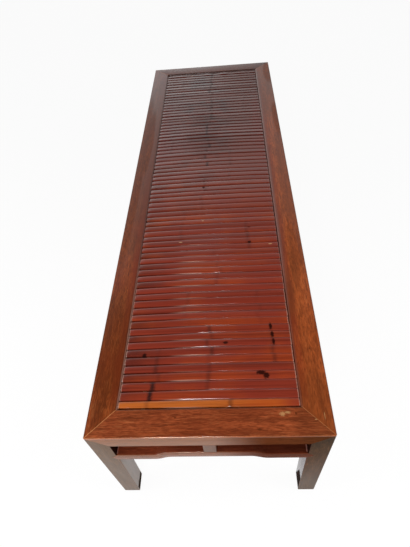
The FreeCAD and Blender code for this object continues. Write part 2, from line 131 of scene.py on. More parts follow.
class BenchColours(bpy.types.PropertyGroup):
    """Colours of the woods, the bamboo and their worn marks, and of the painted sheen, highlights and shade
    on them.
    """

    heartwood: colour("Heartwood", "Orange-brown of the lacquered frame", (0.430, 0.093, 0.0200))
    leg_brown: colour("Leg brown", "Duller brown of the legs and struts", (0.112, 0.054, 0.0230))
    stretcher_red: colour("Stretcher red", "Red-brown of the stretchers", (0.190, 0.040, 0.0170))
    dark_grain: colour("Dark grain", "Dark knots in the frame's wood", (0.110, 0.022, 0.0045))
    # painted grey sheen: towards the far end of the rails, on the left of the far slats, and as a pale
    # reflection on the legs' inner faces
    grey_sheen: colour("Bloom", "Greyish bloom of old lacquer", (0.170, 0.150, 0.1700))
    red_lacquer: colour("Red lacquer", "Old red lacquer left in the recesses", (0.150, 0.018, 0.0060))
    # painted shade: on the walls beside the slats, on the legs' walls above the stretchers and on a
    # stretcher's top
    painted_shade: colour("Grime", "Dark dirt on the frame's inner walls", (0.030, 0.009, 0.0060))
    # painted shadow low on the inside of a foot, where the lacquer mirrors the floor's shadow
    painted_foot_shadow: colour("Damp stain", "Dark stain low down on the inside of a foot", (0.026, 0.018, 0.0140))
    worn_edge: colour("Worn edge", "Wood laid bare along worn edges", (0.430, 0.170, 0.0600))
    # tan outer faces: partly worn lacquer, partly painted sheen in place of their reflections
    tan_face: colour("Worn face", "Dull tan of the rubbed outer faces", (0.190, 0.088, 0.0340))
    # painted sheen on the lip beside the slats, and a painted highlight where a stretcher meets a leg
    lip_sheen: colour("Lip dust", "Greyish dust beside the slats and in corners", (0.140, 0.062, 0.0500))
    bare_wood: colour("Bare wood", "Pale wood in a chip of the lacquer", (0.520, 0.300, 0.1200))
    bamboo_red: colour("Bamboo red", "Red-brown of most slats", (0.212, 0.027, 0.0130))
    bamboo_orange: colour("Bamboo orange", "Lighter lacquer on some slats", (0.350, 0.050, 0.0070))
    bamboo_gold: colour("Bamboo gold", "Faded slat next to the near rail", (0.420, 0.104, 0.0160))
    bamboo_knot: colour("Bamboo knot", "Dark rings at the bamboo's joints", (0.030, 0.008, 0.0060))
    # duller, darker brown of the slats towards the far end
    bamboo_far: colour("Bamboo dust", "Dull brown of the slats at the far end", (0.085, 0.028, 0.0180))
    # pale pink: slat ends that are partly worn and partly a painted highlight, painted glints along the
    # slats' seams, and a painted highlight on the left rail's lip
    pale_rub_and_glint: colour("Rubbed end", "Pale pinkish ends and edges of the slats", (0.420, 0.230, 0.1700))
    brace_brown: colour("Brace brown", "Stained softwood under the seat", (0.150, 0.066, 0.0330))


class BenchStage(bpy.types.PropertyGroup):
    """The camera."""

    place: bpy.props.FloatVectorProperty(
        name="Camera place", description="Where the camera stands", size=3,
        default=(0.0716, -1.2291, 1.3491), unit="LENGTH", subtype="TRANSLATION")
    pitch: bpy.props.FloatProperty(
        name="Pitch", description="Downward tilt of the camera",
        default=math.radians(49.183), unit="ROTATION", subtype="ANGLE")
    yaw: bpy.props.FloatProperty(
        name="Yaw", description="Turn of the camera to the left",
        default=math.radians(5.996), unit="ROTATION", subtype="ANGLE")
    roll: bpy.props.FloatProperty(
        name="Roll", description="Roll of the camera about its view",
        default=math.radians(-6.809), unit="ROTATION", subtype="ANGLE")
    lens: bpy.props.FloatProperty(
        name="Lens", description="Focal length in millimetres, on 36 mm for the long side",
        default=28.10, unit="CAMERA")


class Socket:
    """One output of a node. A sum on it adds a Math node."""

    def __init__(self, nodes, output):
        self.nodes = nodes
        self.output = output

    def math(self, operation, *values):
        return self.nodes.node("ShaderNodeMath", {"operation": operation}, dict(enumerate(values)))

    def __add__(self, other):
        return self.math("ADD", self, other)

    def __radd__(self, other):
        return self.math("ADD", other, self)

    def __sub__(self, other):
        return self.math("SUBTRACT", self, other)

    def __rsub__(self, other):
        return self.math("SUBTRACT", other, self)

    def __mul__(self, other):
        return self.math("MULTIPLY", self, other)

    def __rmul__(self, other):
        return self.math("MULTIPLY", other, self)

    def __abs__(self):
        return self.math("ABSOLUTE", self)

    def least(self, other):
        return self.math("MINIMUM", self, other)

    def most(self, other):
        return self.math("MAXIMUM", self, other)


class Nodes:
    """A node tree, built node by node."""

    def __init__(self, tree):
        self.tree = tree
        self.tree.nodes.clear()

    def node(self, kind, settings=None, sockets=None, output=0):
        """Adds a node: first its settings, then the values or links of its sockets."""
        node = self.tree.nodes.new(kind)
        for name, value in (settings or {}).items():
            setattr(node, name, value)
        for key, value in (sockets or {}).items():
            if isinstance(value, Socket):
                self.tree.links.new(value.output, node.inputs[key])
            else:
                node.inputs[key].default_value = value
        return Socket(self, node.outputs[output]) if node.outputs else None

    def axes(self, vector):
        """The three parts of a vector."""
        return [self.node("ShaderNodeSeparateXYZ", None, {0: vector}, axis) for axis in "XYZ"]

    def fade(self, value, low, high):
        """Goes from 0 at low to 1 at high, with soft ends. Low may be more than high."""
        return self.node("ShaderNodeMapRange", {"interpolation_type": "SMOOTHSTEP"}, {
            "Value": value, "From Min": low, "From Max": high, "To Min": 0.0, "To Max": 1.0})


class Finish(Nodes):
    """A procedural material on the piece's own coordinates."""

    MASKS = {}
    SPOT_EDGE = (1.45, 0.95)
    MATT_ROUGHNESS = 0.8

    def __init__(self, name, base=None):
        self.material = bpy.data.materials.new(name)
        self.material.use_nodes = True
        super().__init__(self.material.node_tree)
        self.place = self.node("ShaderNodeTexCoord", output="Object")
        self.base = base

    def noise(self, scale, detail=3.0, roughness=0.55, warp=0.0, shift=(0, 0, 0)):
        """A noise on the object's coordinates, scaled on each axis."""
        mapping = {"Vector": self.place, "Location": shift, "Scale": scale}
        place = self.node("ShaderNodeMapping", None, mapping)
        return self.node("ShaderNodeTexNoise", {"noise_dimensions": "3D"}, {
            "Vector": place, "Scale": 1.0, "Detail": detail, "Roughness": roughness, "Distortion": warp})

    def chance(self, seed):
        """A random value for each whole number."""
        return self.node("ShaderNodeTexWhiteNoise", {"noise_dimensions": "1D"}, {"W": seed})

    def measure(self, measures):
        """Keeps the measures, and makes masks on them that fade in and, with four values, out again."""
        self.at = SimpleNamespace(**measures)
        self.on = SimpleNamespace()
        for measure, group in self.MASKS.items():
            for name, (start, full, *waning) in group.items():
                mask = self.fade(measures[measure], start, full)
                if waning:
                    mask = mask * self.fade(measures[measure], *reversed(waning))
                setattr(self.on, name, mask)

    def lay(self, mask, tone, blend="MIX"):
        """Lays a colour over the base where the mask is 1."""
        settings = {"data_type": "RGBA", "blend_type": blend}
        self.base = self.node("ShaderNodeMix", settings, {0: mask, 6: self.base, 7: tone}, 2)

    def vector(self, operation, *values, output=0):
        settings = {"operation": operation}
        return self.node("ShaderNodeVectorMath", settings, dict(enumerate(values)), output)

    def spots(self, places, level, depth, uneven):
        """1 inside the patches of a list and 0 outside them, with uneven edges."""
        mask = None
        for x, y, reach_x, reach_y in places:
            away = self.vector("SUBTRACT", self.place, (x, y, level))
            sized = self.vector("DIVIDE", away, (reach_x, reach_y, depth))
            patch = self.fade(self.vector("LENGTH", sized, output="Value") + uneven, *self.SPOT_EDGE)
            mask = patch if mask is None else mask.most(patch)
        return mask

    def surface(self, roughness, height, depth, coat=0.0, coat_roughness=0.2, shine=0.5, dull=None,
                tint=PLAIN):
        """Ends the material in a lacquered surface, which is matt where dull is 1."""
        bump = self.node("ShaderNodeBump", None, {"Strength": 1.0, "Distance": depth, "Height": height})
        shader = self.node("ShaderNodeBsdfPrincipled", None, {
            "Base Color": self.base, "Roughness": roughness, "Normal": bump,
            "Coat Weight": coat, "Coat Roughness": coat_roughness, "Specular IOR Level": shine,
            "Specular Tint": (*tint, 1.0)})
        if dull is not None:
            matt = self.node("ShaderNodeBsdfPrincipled", None, {
                "Base Color": self.base, "Roughness": self.MATT_ROUGHNESS, "Normal": bump,
                "Specular IOR Level": 0.0})
            shader = self.node("ShaderNodeMixShader", None, {0: dull, 1: shader, 2: matt})
        self.node("ShaderNodeOutputMaterial", None, {"Surface": shader})
        return self.material


def paint(values, strength=1.0):
    """A colour of a property or list for a socket, made lighter or darker."""
    return (*(value * strength for value in values), 1.0)


def new_block(low, high):
    """A bmesh box between two corners."""
    bm = bmesh.new()
    low, high = Vector(low), Vector(high)
    bmesh.ops.create_cube(bm, size=1)
    bmesh.ops.scale(bm, vec=high - low, verts=bm.verts)
    bmesh.ops.translate(bm, vec=(low + high) / 2, verts=bm.verts)
    return bm


def score(bm, point, normal, **clear):
    """Draws a line of edges round a piece, along a plane. It can clear one side of it, too."""
    everything = bm.verts[:] + bm.edges[:] + bm.faces[:]
    bmesh.ops.bisect_plane(bm, geom=everything, dist=SAME_PLACE, plane_co=point, plane_no=normal, **clear)


def slice_off(bm, point, outward):
    """Cuts away what lies outside a plane and closes the cut."""
    score(bm, point, outward, clear_outer=True)
    bmesh.ops.holes_fill(bm, edges=bm.edges[:], sides=0)


def round_off(bm, centre, radius, first, second, steps=4):
    """Cuts an outer edge round, from one face's direction to the next one's."""
    for step in range(steps):
        turn = (step + 0.5) / steps * math.pi / 2
        outward = Vector(first) * math.cos(turn) + Vector(second) * math.sin(turn)
        slice_off(bm, Vector(centre) + radius * outward, outward)


def ease(bm, edges, width, segments=2):
    """Rounds a set of edges."""
    bmesh.ops.bevel(bm, geom=edges, offset=width, offset_type="OFFSET", affect="EDGES",
                    segments=segments, profile=0.5, material=-1, clamp_overlap=True)


def edges_along(bm, axis, **fixed):
    """Edges that run along an axis at fixed places on the other axes."""
    places = {"xyz".index(name): value for name, value in fixed.items()}
    found = []
    for edge in bm.edges:
        ends = [vert.co for vert in edge.verts]
        run = ends[1] - ends[0]
        along = abs(run["xyz".index(axis)]) > STRAIGHT * run.length
        if along and all(abs(end[i] - value) < SAME_PLACE for end in ends for i, value in places.items()):
            found.append(edge)
    return found


def drawn_out(bm, faces):
    """Extrudes faces, takes the old ones away and gives the new corners to move."""
    grown = bmesh.ops.extrude_face_region(bm, geom=faces)["geom"]
    bmesh.ops.delete(bm, geom=[face for face in faces if face.is_valid], context="FACES_ONLY")
    return [part for part in grown if isinstance(part, bmesh.types.BMVert)]


def corner_matrix(quarter):
    """From a corner of the bench, X along the edge to the next corner and Y inwards."""
    corner = ((LOW.x, LOW.y), (HIGH.x, LOW.y), (HIGH.x, HIGH.y), (LOW.x, HIGH.y))[quarter]
    turn = Matrix.Rotation(quarter * math.pi / 2, 4, "Z")
    return Matrix.Translation((*corner, 0)) @ turn


def edge_length(quarter):
    """Length of the edge that starts at a corner of the bench."""
    return (HIGH.x - LOW.x) if quarter % 2 == 0 else (HIGH.y - LOW.y)


def close_up(bm):
    """Merges doubled corners and points the faces outwards."""
    bmesh.ops.remove_doubles(bm, verts=bm.verts, dist=SAME_PLACE)
    bmesh.ops.recalc_face_normals(bm, faces=bm.faces)


def set_at_corner(bm, quarter):
    """Moves a piece from the origin to its corner of the bench, and closes it up."""
    bmesh.ops.transform(bm, matrix=corner_matrix(quarter), verts=bm.verts)
    close_up(bm)


def finished(bm, name, node, material):
    """Turns a bmesh into a piece that stands for a CAD node."""
    if any(not edge.is_manifold for edge in bm.edges):
        raise RuntimeError(f"{name} is not closed")
    mesh = bpy.data.meshes.new(name)
    bm.to_mesh(mesh)
    bm.free()
    mesh.materials.append(material)
    mesh.shade_smooth()
    mesh.set_sharp_from_angle(angle=SHARP_ANGLE)
    piece = bpy.data.objects.new(name, mesh)
    bpy.context.scene.collection.objects.link(piece)
    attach(piece, "root")
    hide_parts(node)


# patches on the frame's top: x, y and the reach along both
CHIPS = (
    (0.1650, -0.8505, 0.0105, 0.0080), (0.1770, -0.8475, 0.0120, 0.0052),
    (0.2360, -0.8640, 0.0040, 0.0016), (0.2560, -0.8560, 0.0016, 0.0130),
)
FRAME_KNOTS = (
    (-0.0728, -0.8550, 0.0055, 0.0040), (0.1126, -0.8845, 0.0100, 0.0032),
    (0.2470, -0.6880, 0.0024, 0.0060), (0.1950, -0.8500, 0.0040, 0.0060),
    (-0.0800, -0.8720, 0.0110, 0.0014),
)
DARK_STRETCHES = (
    (-0.2420, -0.6700, 0.100, 0.200), (-0.2420, 0.2200, 0.110, 0.780), (-0.2420, 0.2400, 0.120, 0.330),
    (-0.2545, -0.8450, 0.016, 0.050), (0.2680, 0.0800, 0.036, 0.620), (0.2160, -0.5300, 0.020, 0.110),
    (0.2450, -0.4000, 0.016, 0.130), (0.2420, -0.8400, 0.060, 0.130), (0.2420, 0.6800, 0.080, 0.380),
)
DULL_STRETCHES = (
    (-0.2640, 0.0800, 0.018, 0.450), (-0.2440, 0.2600, 0.016, 0.200), (0.2440, -0.4200, 0.018, 0.170),
    (0.2660, 0.3800, 0.012, 0.110), (0.2620, 0.8000, 0.016, 0.090),
)
# how deep a small mark and a long stretch reach
MARK_DEPTH = 0.02
STRETCH_DEPTH = 0.10

# the worn marks, painted sheen and painted shade of a piece of the frame, where its own list doesn't say
# otherwise
USUAL_WORN_AND_LIT = {
    "redness": 0.2,      # clouds of red lacquer
    "figure": 1.0,       # contrast of the grain
    "gloss": 0.24,       # roughness where the lacquer is good
    "coat": 0.2,         # clear coat on the lacquer
    "shine": 0.5,        # strength of the reflections
    "painted_shade": 0.3,        # painted shade on the wall beside the slats
    "tan": 0.0,          # tan on the outer faces, partly worn lacquer and partly painted sheen
    "dull_right": 0.0,   # shade on the right of the outer faces
    "inner_grime": 0.0,  # painted shade on the legs' walls above the stretchers
    "lip_sheen": 0.0,     # painted sheen on the lip beside the slats
    "lip_rub": 0.0,      # painted highlight on that lip at the near end
    "dark_edge": 0.0,    # painted shade along the outer top edge
    "dry": 0.0,          # loss of shine towards the near end
    "grey_sheen": 0.0,        # painted grey sheen towards the far end
    "top_grime": 0.0,    # painted shade on a stretcher's top
    "corner_dust": 0.0,  # painted highlight where a stretcher meets a leg
    "bright_rim": 0.0,   # polish on a stretcher's upper edge
    "inner_coat": 0.0,   # gloss on a leg's inner faces, with a painted pale reflection
    "foot_stain": 0.0,   # height of the painted shadow in a foot, in metres
    "tint": PLAIN,       # tint of the reflections
}


class FrameWood(Finish):
    """Lacquered hardwood with its grain along one axis, and the worn marks, painted sheen and painted shade
    of its place on the bench.
    """

    # noises along the grain: scale along and across it, shift, detail, roughness and warp
    GRAIN = {
        "blotches": (9, 34, 0.0, 4, 0.62, 0.8),
        "streaks": (4, 95, 5.0, 4, 0.62, 0.7),
        "ripples": (34, 310, 3.0, 3, 0.60, 1.2),
        "pores": (60, 760, 7.0, 2, 0.60, 0.5),
        "smears": (8, 60, 0.0, 3, 0.55, 0.0),
    }
    # where each mask starts and where it is full, under what it is measured on
    MASKS = {
        "blotches": {"blotch": (0.40, 0.66)},
        "streaks": {"streak": (0.44, 0.66)},
        "ripples": {"ripple": (0.45, 0.62), "light_ripple": (0.44, 0.32)},
        "pores": {"pore": (0.50, 0.64)},
        "clouds": {"cloud": (0.40, 0.66)},
        # metres across the bench, along it, up from the floor and down from the top
        "x": {"rightward": (-0.02, 0.135), "polished_left": (0.12, 0.02), "grimy_top": (-0.13, -0.07),
              "rim_run": (-0.165, -0.150, -0.020, -0.005)},
        "y": {"farther": (-0.60, -0.25), "far_half": (0.0, 0.1), "far_end": (0.35, 0.90),
              "dry_end": (-0.30, -0.75)},
        "z": {"higher": (0.05, 0.36), "above_stretcher": (0.300, 0.314), "below_gap": (0.300, 0.290)},
        "below_top": {"level": (0.0035, 0.0005), "top_edge": (0.0045, 0.0030), "upright": (0.0020, 0.0065)},
        # metres in from the outer faces: the sides', the ends', the nearest and the farther of both
        "inset_x": {"dark_edge": (0.0040, 0.0012), "stretcher_end": (0.0535, 0.0520)},
        "ragged_inset_x": {"recess": (0.040, 0.054)},
        "inset_y": {"recess_start": (0.066, 0.10), "far_edge": (0.0042, 0.0010),
                    "polished_edge": (0.0040, 0.0028), "behind_rim": (0.0030, 0.0050),
                    "rim": (-0.0002, 0.0002, 0.0014, 0.0019)},
        "inset": {"outer_face": (0.0016, 0.0006), "off_face": (0.0010, 0.0025),
                  "behind_face": (0.0015, 0.0040), "sunk": (0.022, 0.047)},
        "ragged_inset": {"rubbed_edge": (0.0030, 0.0004)},
        "deepest": {"leg_wall": (0.0440, 0.0455), "gap_wall": (0.0470, 0.0490)},
        # metres past the lip beside the slats, and off a mitre
        "past_lip": {"seat_wall": (-0.0060, -0.0030), "rubbed_lip": (-0.0032, -0.0014)},
        "past_lip_for_sheen": {"dusty_lip": (-0.0110, -0.0070)},
        "off_mitre": {"mitre": (0.0016, 0.0005)},
    }
    # share of the heartwood's colour in its dark grain and in its pores
    DARK = 0.30
    DARKER = 0.16
    SHADE_GREY = (0.2, 0.2, 0.2, 1.0)
    LOWEST_SHADOW = 0.034
    BUMP_DEPTH = 0.00010
    COAT_ROUGHNESS = 0.12

    def __init__(self, colours, name, grain, heart, **wear_and_light):
        super().__init__(name, paint(heart))
        self.colours = colours
        self.wear_and_light = SimpleNamespace(**{**USUAL_WORN_AND_LIT, **wear_and_light})
        self.dark = paint(heart, self.DARK)
        self.darker = paint(heart, self.DARKER)
        self.red = paint(colours.red_lacquer)
        self.measure(self.measured("XYZ".index(grain)))

    def measured(self, grain):
        """The noises of the wood, and the ways from the outer faces, the seat and the mitres."""
        made = {"clouds": self.noise((4, 4, 4), 3, 0.6)}
        for name, (along, across, shift, *rest) in self.GRAIN.items():
            scale = [across] * 3
            scale[grain] = along
            made[name] = self.noise(scale, *rest, (shift, shift, shift))
        x, y, z = self.axes(self.place)
        inset_x = HIGH.x - abs(x)
        inset_y = HIGH.y - abs(y)
        inset = inset_x.least(inset_y)
        past_lip = inset - bpy.context.scene.bench_sizes.rail_top_width
        ragged = self.noise((160, 40, 160), 3, 0.6) - 0.5
        return made | {
            "x": x, "y": y, "z": z, "below_top": HIGH.z - z, "ragged": ragged,
            "inset_x": inset_x, "inset_y": inset_y, "inset": inset, "deepest": inset_x.most(inset_y),
            "ragged_inset_x": inset_x + ragged * 0.016, "ragged_inset": inset + ragged * 0.006,
            "past_lip": past_lip + ragged * 0.002, "past_lip_for_sheen": past_lip + ragged * 0.004,
            "off_mitre": abs(inset_x - inset_y) + ragged * 0.002}

    def figure(self):
        """Blotches, streaks, ripples and pores of the wood, and clouds of red."""
        on, contrast = self.on, self.wear_and_light.figure
        self.lay(on.blotch * (0.45 * contrast), self.dark)
        self.lay(on.streak * (0.60 * contrast), self.dark)
        self.lay(on.ripple * (0.68 * contrast), self.dark)
        self.lay(on.light_ripple * (0.28 * contrast), paint(self.colours.worn_edge))
        self.lay(on.pore * (0.55 * contrast), self.darker)
        self.lay(on.cloud * self.wear_and_light.redness, self.red)

    def top_marks_and_light(self):
        """Old red lacquer beside the seat, dark stretches, painted shade on the wall beside the slats and
        along the outer top edge, a painted grey sheen towards the far end and on the lip, a painted highlight
        on the lip at the near end, and worn edges and mitres.
        """
        on, wear_and_light, colours = self.on, self.wear_and_light, self.colours
        uneven = self.at.clouds + self.at.streaks * 0.6 - 0.3
        self.lay(on.recess * (0.25 + 0.75 * on.recess_start) * 0.55, self.red)
        self.lay(self.spots(DARK_STRETCHES, HIGH.z, STRETCH_DEPTH, uneven) * 0.5, self.dark)
        # painted grey sheen towards the far end
        self.lay(on.far_end * wear_and_light.grey_sheen, paint(colours.grey_sheen))
        # painted shade on the wall beside the slats
        self.lay(on.seat_wall * wear_and_light.painted_shade, paint(colours.painted_shade))
        # painted sheen on the lip beside the slats, farther along the bench
        self.lay(on.dusty_lip * on.farther * wear_and_light.lip_sheen, paint(colours.lip_sheen))
        # painted highlight on the lip at the near end
        self.lay(on.rubbed_lip * (1 - on.farther) * wear_and_light.lip_rub, paint(colours.pale_rub_and_glint))
        # painted shade along the outer top edge
        self.lay(on.dark_edge * on.level * wear_and_light.dark_edge, self.darker)
        pale_line = on.rubbed_edge * on.level * (1 - on.rightward * 0.6)
        self.lay(pale_line * (0.45 * (1 - wear_and_light.dark_edge)), paint(colours.worn_edge))
        self.lay(on.mitre * on.level * (0.85 - on.rightward * 0.47), paint(colours.worn_edge, 1.1))

    def marks(self):
        """Knots, and chips that bare the wood. Gives where the chips are."""
        uneven = self.noise((330, 330, 330), 5, 0.7) * 1.3
        knots = self.spots(FRAME_KNOTS, HIGH.z, MARK_DEPTH, uneven)
        chips = self.spots(CHIPS, HIGH.z, MARK_DEPTH, uneven)
        self.lay(knots * 0.7, paint(self.colours.dark_grain, 0.4))
        self.lay(chips * 0.46, paint(self.colours.bare_wood))
        return chips

    def face_marks_and_shade(self):
        """Tan outer faces that are partly painted sheen, painted shade to the right, on the walls round the
        gaps and on a stretcher's top, and a painted highlight where a stretcher meets a leg. Gives where the
        lacquer is matt.
        """
        on, wear_and_light, colours = self.on, self.wear_and_light, self.colours
        front = on.upright * on.outer_face
        shade = on.upright * (0.5 + 0.5 * on.higher) * on.rightward * wear_and_light.dull_right
        gap_wall = on.gap_wall * on.above_stretcher * wear_and_light.inner_grime
        # tan outer faces: partly worn lacquer, partly painted sheen
        self.lay(front * wear_and_light.tan * (1 - on.rightward * 0.5), paint(colours.tan_face))
        self.lay(shade * 0.7, self.SHADE_GREY, "MULTIPLY")
        # painted shade on the legs' walls above the stretchers
        self.lay(gap_wall, paint(colours.painted_shade, 0.4))
        # painted shade on a stretcher's top behind its front face
        self.lay(on.behind_face * on.grimy_top * wear_and_light.top_grime, paint(colours.painted_shade))
        # painted highlight where a stretcher meets a leg
        self.lay(on.stretcher_end * on.behind_rim * wear_and_light.corner_dust, paint(colours.lip_sheen, 2.0))

        unpolished = self.spots(DULL_STRETCHES, HIGH.z, STRETCH_DEPTH, self.at.clouds * 0.6 - 0.2)
        matt = shade.most(on.far_edge * on.far_half * 0.85).most(on.dark_edge * on.level * wear_and_light.dark_edge)
        matt = matt.most(gap_wall).most(on.dry_end * wear_and_light.dry)
        return matt.most(front * 0.14).most(unpolished * 0.4)

    def foot_reflections(self, kept):
        """A painted pale reflection on a leg's inner faces and a painted shadow low on them above the floor.
        Gives where the painted shadow is.
        """
        height = self.wear_and_light.foot_stain
        ragged_height = self.at.z + self.at.ragged * 0.02 + self.on.sunk * (height - self.LOWEST_SHADOW)
        shadowed = self.fade(ragged_height, height, height * 0.75) * kept
        # painted pale reflection of the floor on the inner faces
        self.lay(kept * (0.6 * self.wear_and_light.inner_coat), paint(self.colours.grey_sheen))
        # painted shadow low on the inner faces
        self.lay(shadowed * 0.95, paint(self.colours.painted_foot_shadow))
        return shadowed

    def made(self):
        """The whole material."""
        at, on, wear_and_light = self.at, self.on, self.wear_and_light
        self.figure()
        self.top_marks_and_light()
        chips = self.marks()
        matt = self.face_marks_and_shade()
        kept = on.leg_wall * on.off_face * on.below_gap
        if wear_and_light.foot_stain:
            matt = matt.most(self.foot_reflections(kept))

        rim = on.rim * on.rim_run * wear_and_light.bright_rim
        polish = (on.polished_edge * on.top_edge * on.polished_left).most(rim)
        roughness = wear_and_light.gloss + at.smears * 0.14 + chips * 0.25
        roughness = roughness * (1 - polish * 0.72) * (1 - kept * (0.7 * wear_and_light.inner_coat))
        coat = wear_and_light.coat + polish * 0.8 + kept * wear_and_light.inner_coat
        height = (at.pores * 0.3 + on.ripple * -0.5) * (1 - polish * 0.9) + chips * -1.0
        return self.surface(roughness, height, self.BUMP_DEPTH, coat, self.COAT_ROUGHNESS, wear_and_light.shine,
                            matt, wear_and_light.tint)


def brace_wood(colours):
    """Sawn softwood under a thin stain."""
    brown = colours.brace_brown
    finish = Finish("brace_wood", paint(brown))
    grain = finish.noise((3, 60, 60), 4, 0.6, 0.4)
    saw = finish.noise((420, 8, 8), 2)
    patches = finish.noise((9, 9, 9), 3)
    finish.lay(finish.fade(grain, 0.4, 0.7), paint(brown, 0.45))
    finish.lay(finish.fade(patches, 0.45, 0.7) * 0.5, paint(brown, 1.7))
    return finish.surface(0.62 + grain * 0.2, saw + grain, 0.00025)


def raw_bamboo(colours):
    """Unlacquered bamboo with fine fibres along the bench."""
    finish = Finish("raw_bamboo", paint(colours.bare_wood, 0.2))
    fibres = finish.noise((600, 6, 600), 3, 0.6)
    finish.lay(fibres, paint(colours.bare_wood, 0.4))
    return finish.surface(0.5 + fibres * 0.2, fibres, 0.0001)


# patches on the slats: x, y and the reach along both
SLAT_STAINS = (
    (0.0430, -0.6640, 0.0075, 0.0052), (-0.1595, -0.6950, 0.0070, 0.0082),
    (0.1265, -0.7480, 0.0150, 0.0078), (0.1375, -0.7555, 0.0098, 0.0105),
    (0.1585, -0.6180, 0.0052, 0.0125), (0.1610, -0.6430, 0.0056, 0.0125),
    (0.1625, -0.6640, 0.0046, 0.0125), (-0.0227, -0.0410, 0.0060, 0.0050),
    (0.1210, -0.3130, 0.0065, 0.0045), (0.1228, -0.2480, 0.0065, 0.0038),
)
SLAT_CHIPS = (
    (-0.0227, -0.2100, 0.0045, 0.0028), (0.1830, -0.3240, 0.0080, 0.0020),
    (-0.0887, -0.3035, 0.0070, 0.0022), (-0.0917, 0.8156, 0.0045, 0.0060),
)
SMOKED_PATCH = ((-0.030, 0.310, 0.085, 0.200),)
SMOKE_DEPTH = 0.08
SLAT_LEVEL = 0.42


class SlatBamboo(Finish):
    """Lacquered split bamboo. Each slat carries its number, and the way to its nearest knot and its tone."""

    # scale on each axis, detail, roughness, warp and shift of the noises
    NOISES = {
        "fibres": ((7, 620, 90), 3, 0.6),
        "streaks": ((2.4, 130, 30), 4, 0.6, 0.4),
        "clouds": ((6, 8, 5), 3, 0.6),
        "patches": ((9, 14, 5), 4, 0.65, 0.0, (2, 5, 0)),
        "ragged": ((140, 240, 140), 3, 0.6),
        "worn": ((12, 90, 12), 3),
    }
    # random values of a slat: its number is multiplied and shifted to a seed
    CHANCES = {"warmth": (3.17, 0.5), "depth": (5.71, 9.5), "glinting": (7.3, 4.5), "glint_luck": (2.9, 7.5)}
    # where each mask starts and where it is full, under what it is measured on
    MASKS = {
        "streaks": {"streak": (0.48, 0.68)},
        "fibres": {"fibre": (0.50, 0.70)},
        "patches": {"patch": (0.44, 0.64)},
        "warm_clouds": {"warm": (0.56, 0.90)},
        "warmth": {"smoky": (0.35, 0.8)},
        "depth": {"smoked": (0.1, 0.7)},
        "glinting": {"glints": (0.0, 0.4)},
        "glint_luck": {"rubs": (0.1, 0.9)},
        # slats, counted from the near end and from the second
        "number": {"nearest": (0.6, 0.4), "others": (0.4, 0.6), "warmer": (44, 28), "dusty": (18, 60),
                   "red_tips": (36, 44, 56, 64), "hazy": (38, 46, 60, 70), "wide_seams": (36, 46),
                   "dirtier": (34, 52), "clean_seams": (32, 16), "rubbed_ends": (24, 8),
                   "rubbed_edges": (28, 16), "glinting_edges": (32, 18), "coated": (4, 48),
                   "farthest": (58, 70)},
        "off_second": {"second": (0.6, 0.4)},
        # shares of a slat's length, from the left or from its middle
        "along": {"clean_right": (0.30, 0.60), "dull_right": (0.40, 0.90), "hazy_left": (0.45, 0.10),
                  "glint": (0.16, 0.36, 0.50, 0.74), "right_glint": (0.80, 0.84, 0.93, 0.97),
                  "near_glint": (0.02, 0.10, 0.50, 0.72)},
        "cloudy_along": {"rubbed_middle": (0.32, 0.46, 0.50, 0.62), "orange_right": (0.62, 0.90)},
        "less_cloudy_along": {"red_right": (0.90, 1.02)},
        "more_cloudy_along": {"smoky_left": (0.42, 0.16)},
        "patchy_off_middle": {"middle": (0.44, 0.26)},
        "patchy_to_tip": {"tips": (0.48, 0.56)},
        "ragged_to_tip": {"ends": (0.4950, 0.4975)},
        # shares of its width from the near edge, and metres from a knot
        "across": {"near_seam": (0.10, 0.035), "far_seam": (0.85, 0.94), "wide_seam": (0.62, 0.84),
                   "rubbed_edge": (0.11, 0.05)},
        "ragged_to_knot": {"ring": (0.0150, 0.0050)},
    }
    BUMP_DEPTH = 0.00010
    COAT_ROUGHNESS = 0.22
    SHINE = 0.5

    def __init__(self, colours, name):
        super().__init__(name, paint(colours.bamboo_red))
        self.colours = colours
        self.measure(self.measured())

    def measured(self):
        """The noises, a slat's marks and random values, and the ways along and across it."""
        made = {name: self.noise(*settings) for name, settings in self.NOISES.items()}
        number, knot_away, knot_tone = [
            self.node("ShaderNodeAttribute", {"attribute_name": mark}, output="Fac")
            for mark in ("slat", "knot", "tone")]
        for name, (factor, shift) in self.CHANCES.items():
            made[name] = self.chance(number * factor + shift)
        along, across, _ = self.axes(self.node("ShaderNodeUVMap", {"uv_map": "laid"}))
        clouds, patches, ragged = made["clouds"], made["patches"], made["ragged"]
        to_tip = abs(along - 0.5)
        return made | {
            "number": number, "off_second": abs(number - 1), "knot_tone": knot_tone,
            "ragged_to_knot": knot_away + ragged * 0.010, "warm_clouds": made["warmth"] * 0.30 + clouds,
            "along": along, "across": across, "cloudy_along": along + clouds * 0.2,
            "less_cloudy_along": along + clouds * 0.1, "more_cloudy_along": along + clouds * 0.35,
            "patchy_off_middle": abs(along - 0.45) + patches * 0.2, "patchy_to_tip": to_tip + patches * 0.2,
            "ragged_to_tip": to_tip + ragged * 0.004}

    def tones(self):
        """Each slat's own colour, the gold of the nearest one, and a duller, darker brown towards the far
        end.
        """
        on, colours = self.on, self.colours
        red, orange = colours.bamboo_red, colours.bamboo_orange
        self.lay(on.warm * (0.25 + 0.35 * on.warmer), paint(orange))
        self.lay(on.nearest, paint(colours.bamboo_gold))
        self.lay(on.streak * 0.55, paint(red, 0.40))
        self.lay(on.fibre * 0.35, paint(red, 0.45))
        self.lay(on.others * self.at.depth * 0.35, paint(red, 0.5))
        self.lay(on.nearest * on.orange_right * 0.6, paint(orange))
        self.lay(on.nearest * on.red_right * 0.8, paint(red))
        self.lay(on.smoky_left * on.smoky * on.others * 0.55, paint(colours.bamboo_knot))
        # duller, darker brown towards the far end
        self.lay(on.dusty * 0.72, paint(colours.bamboo_far))

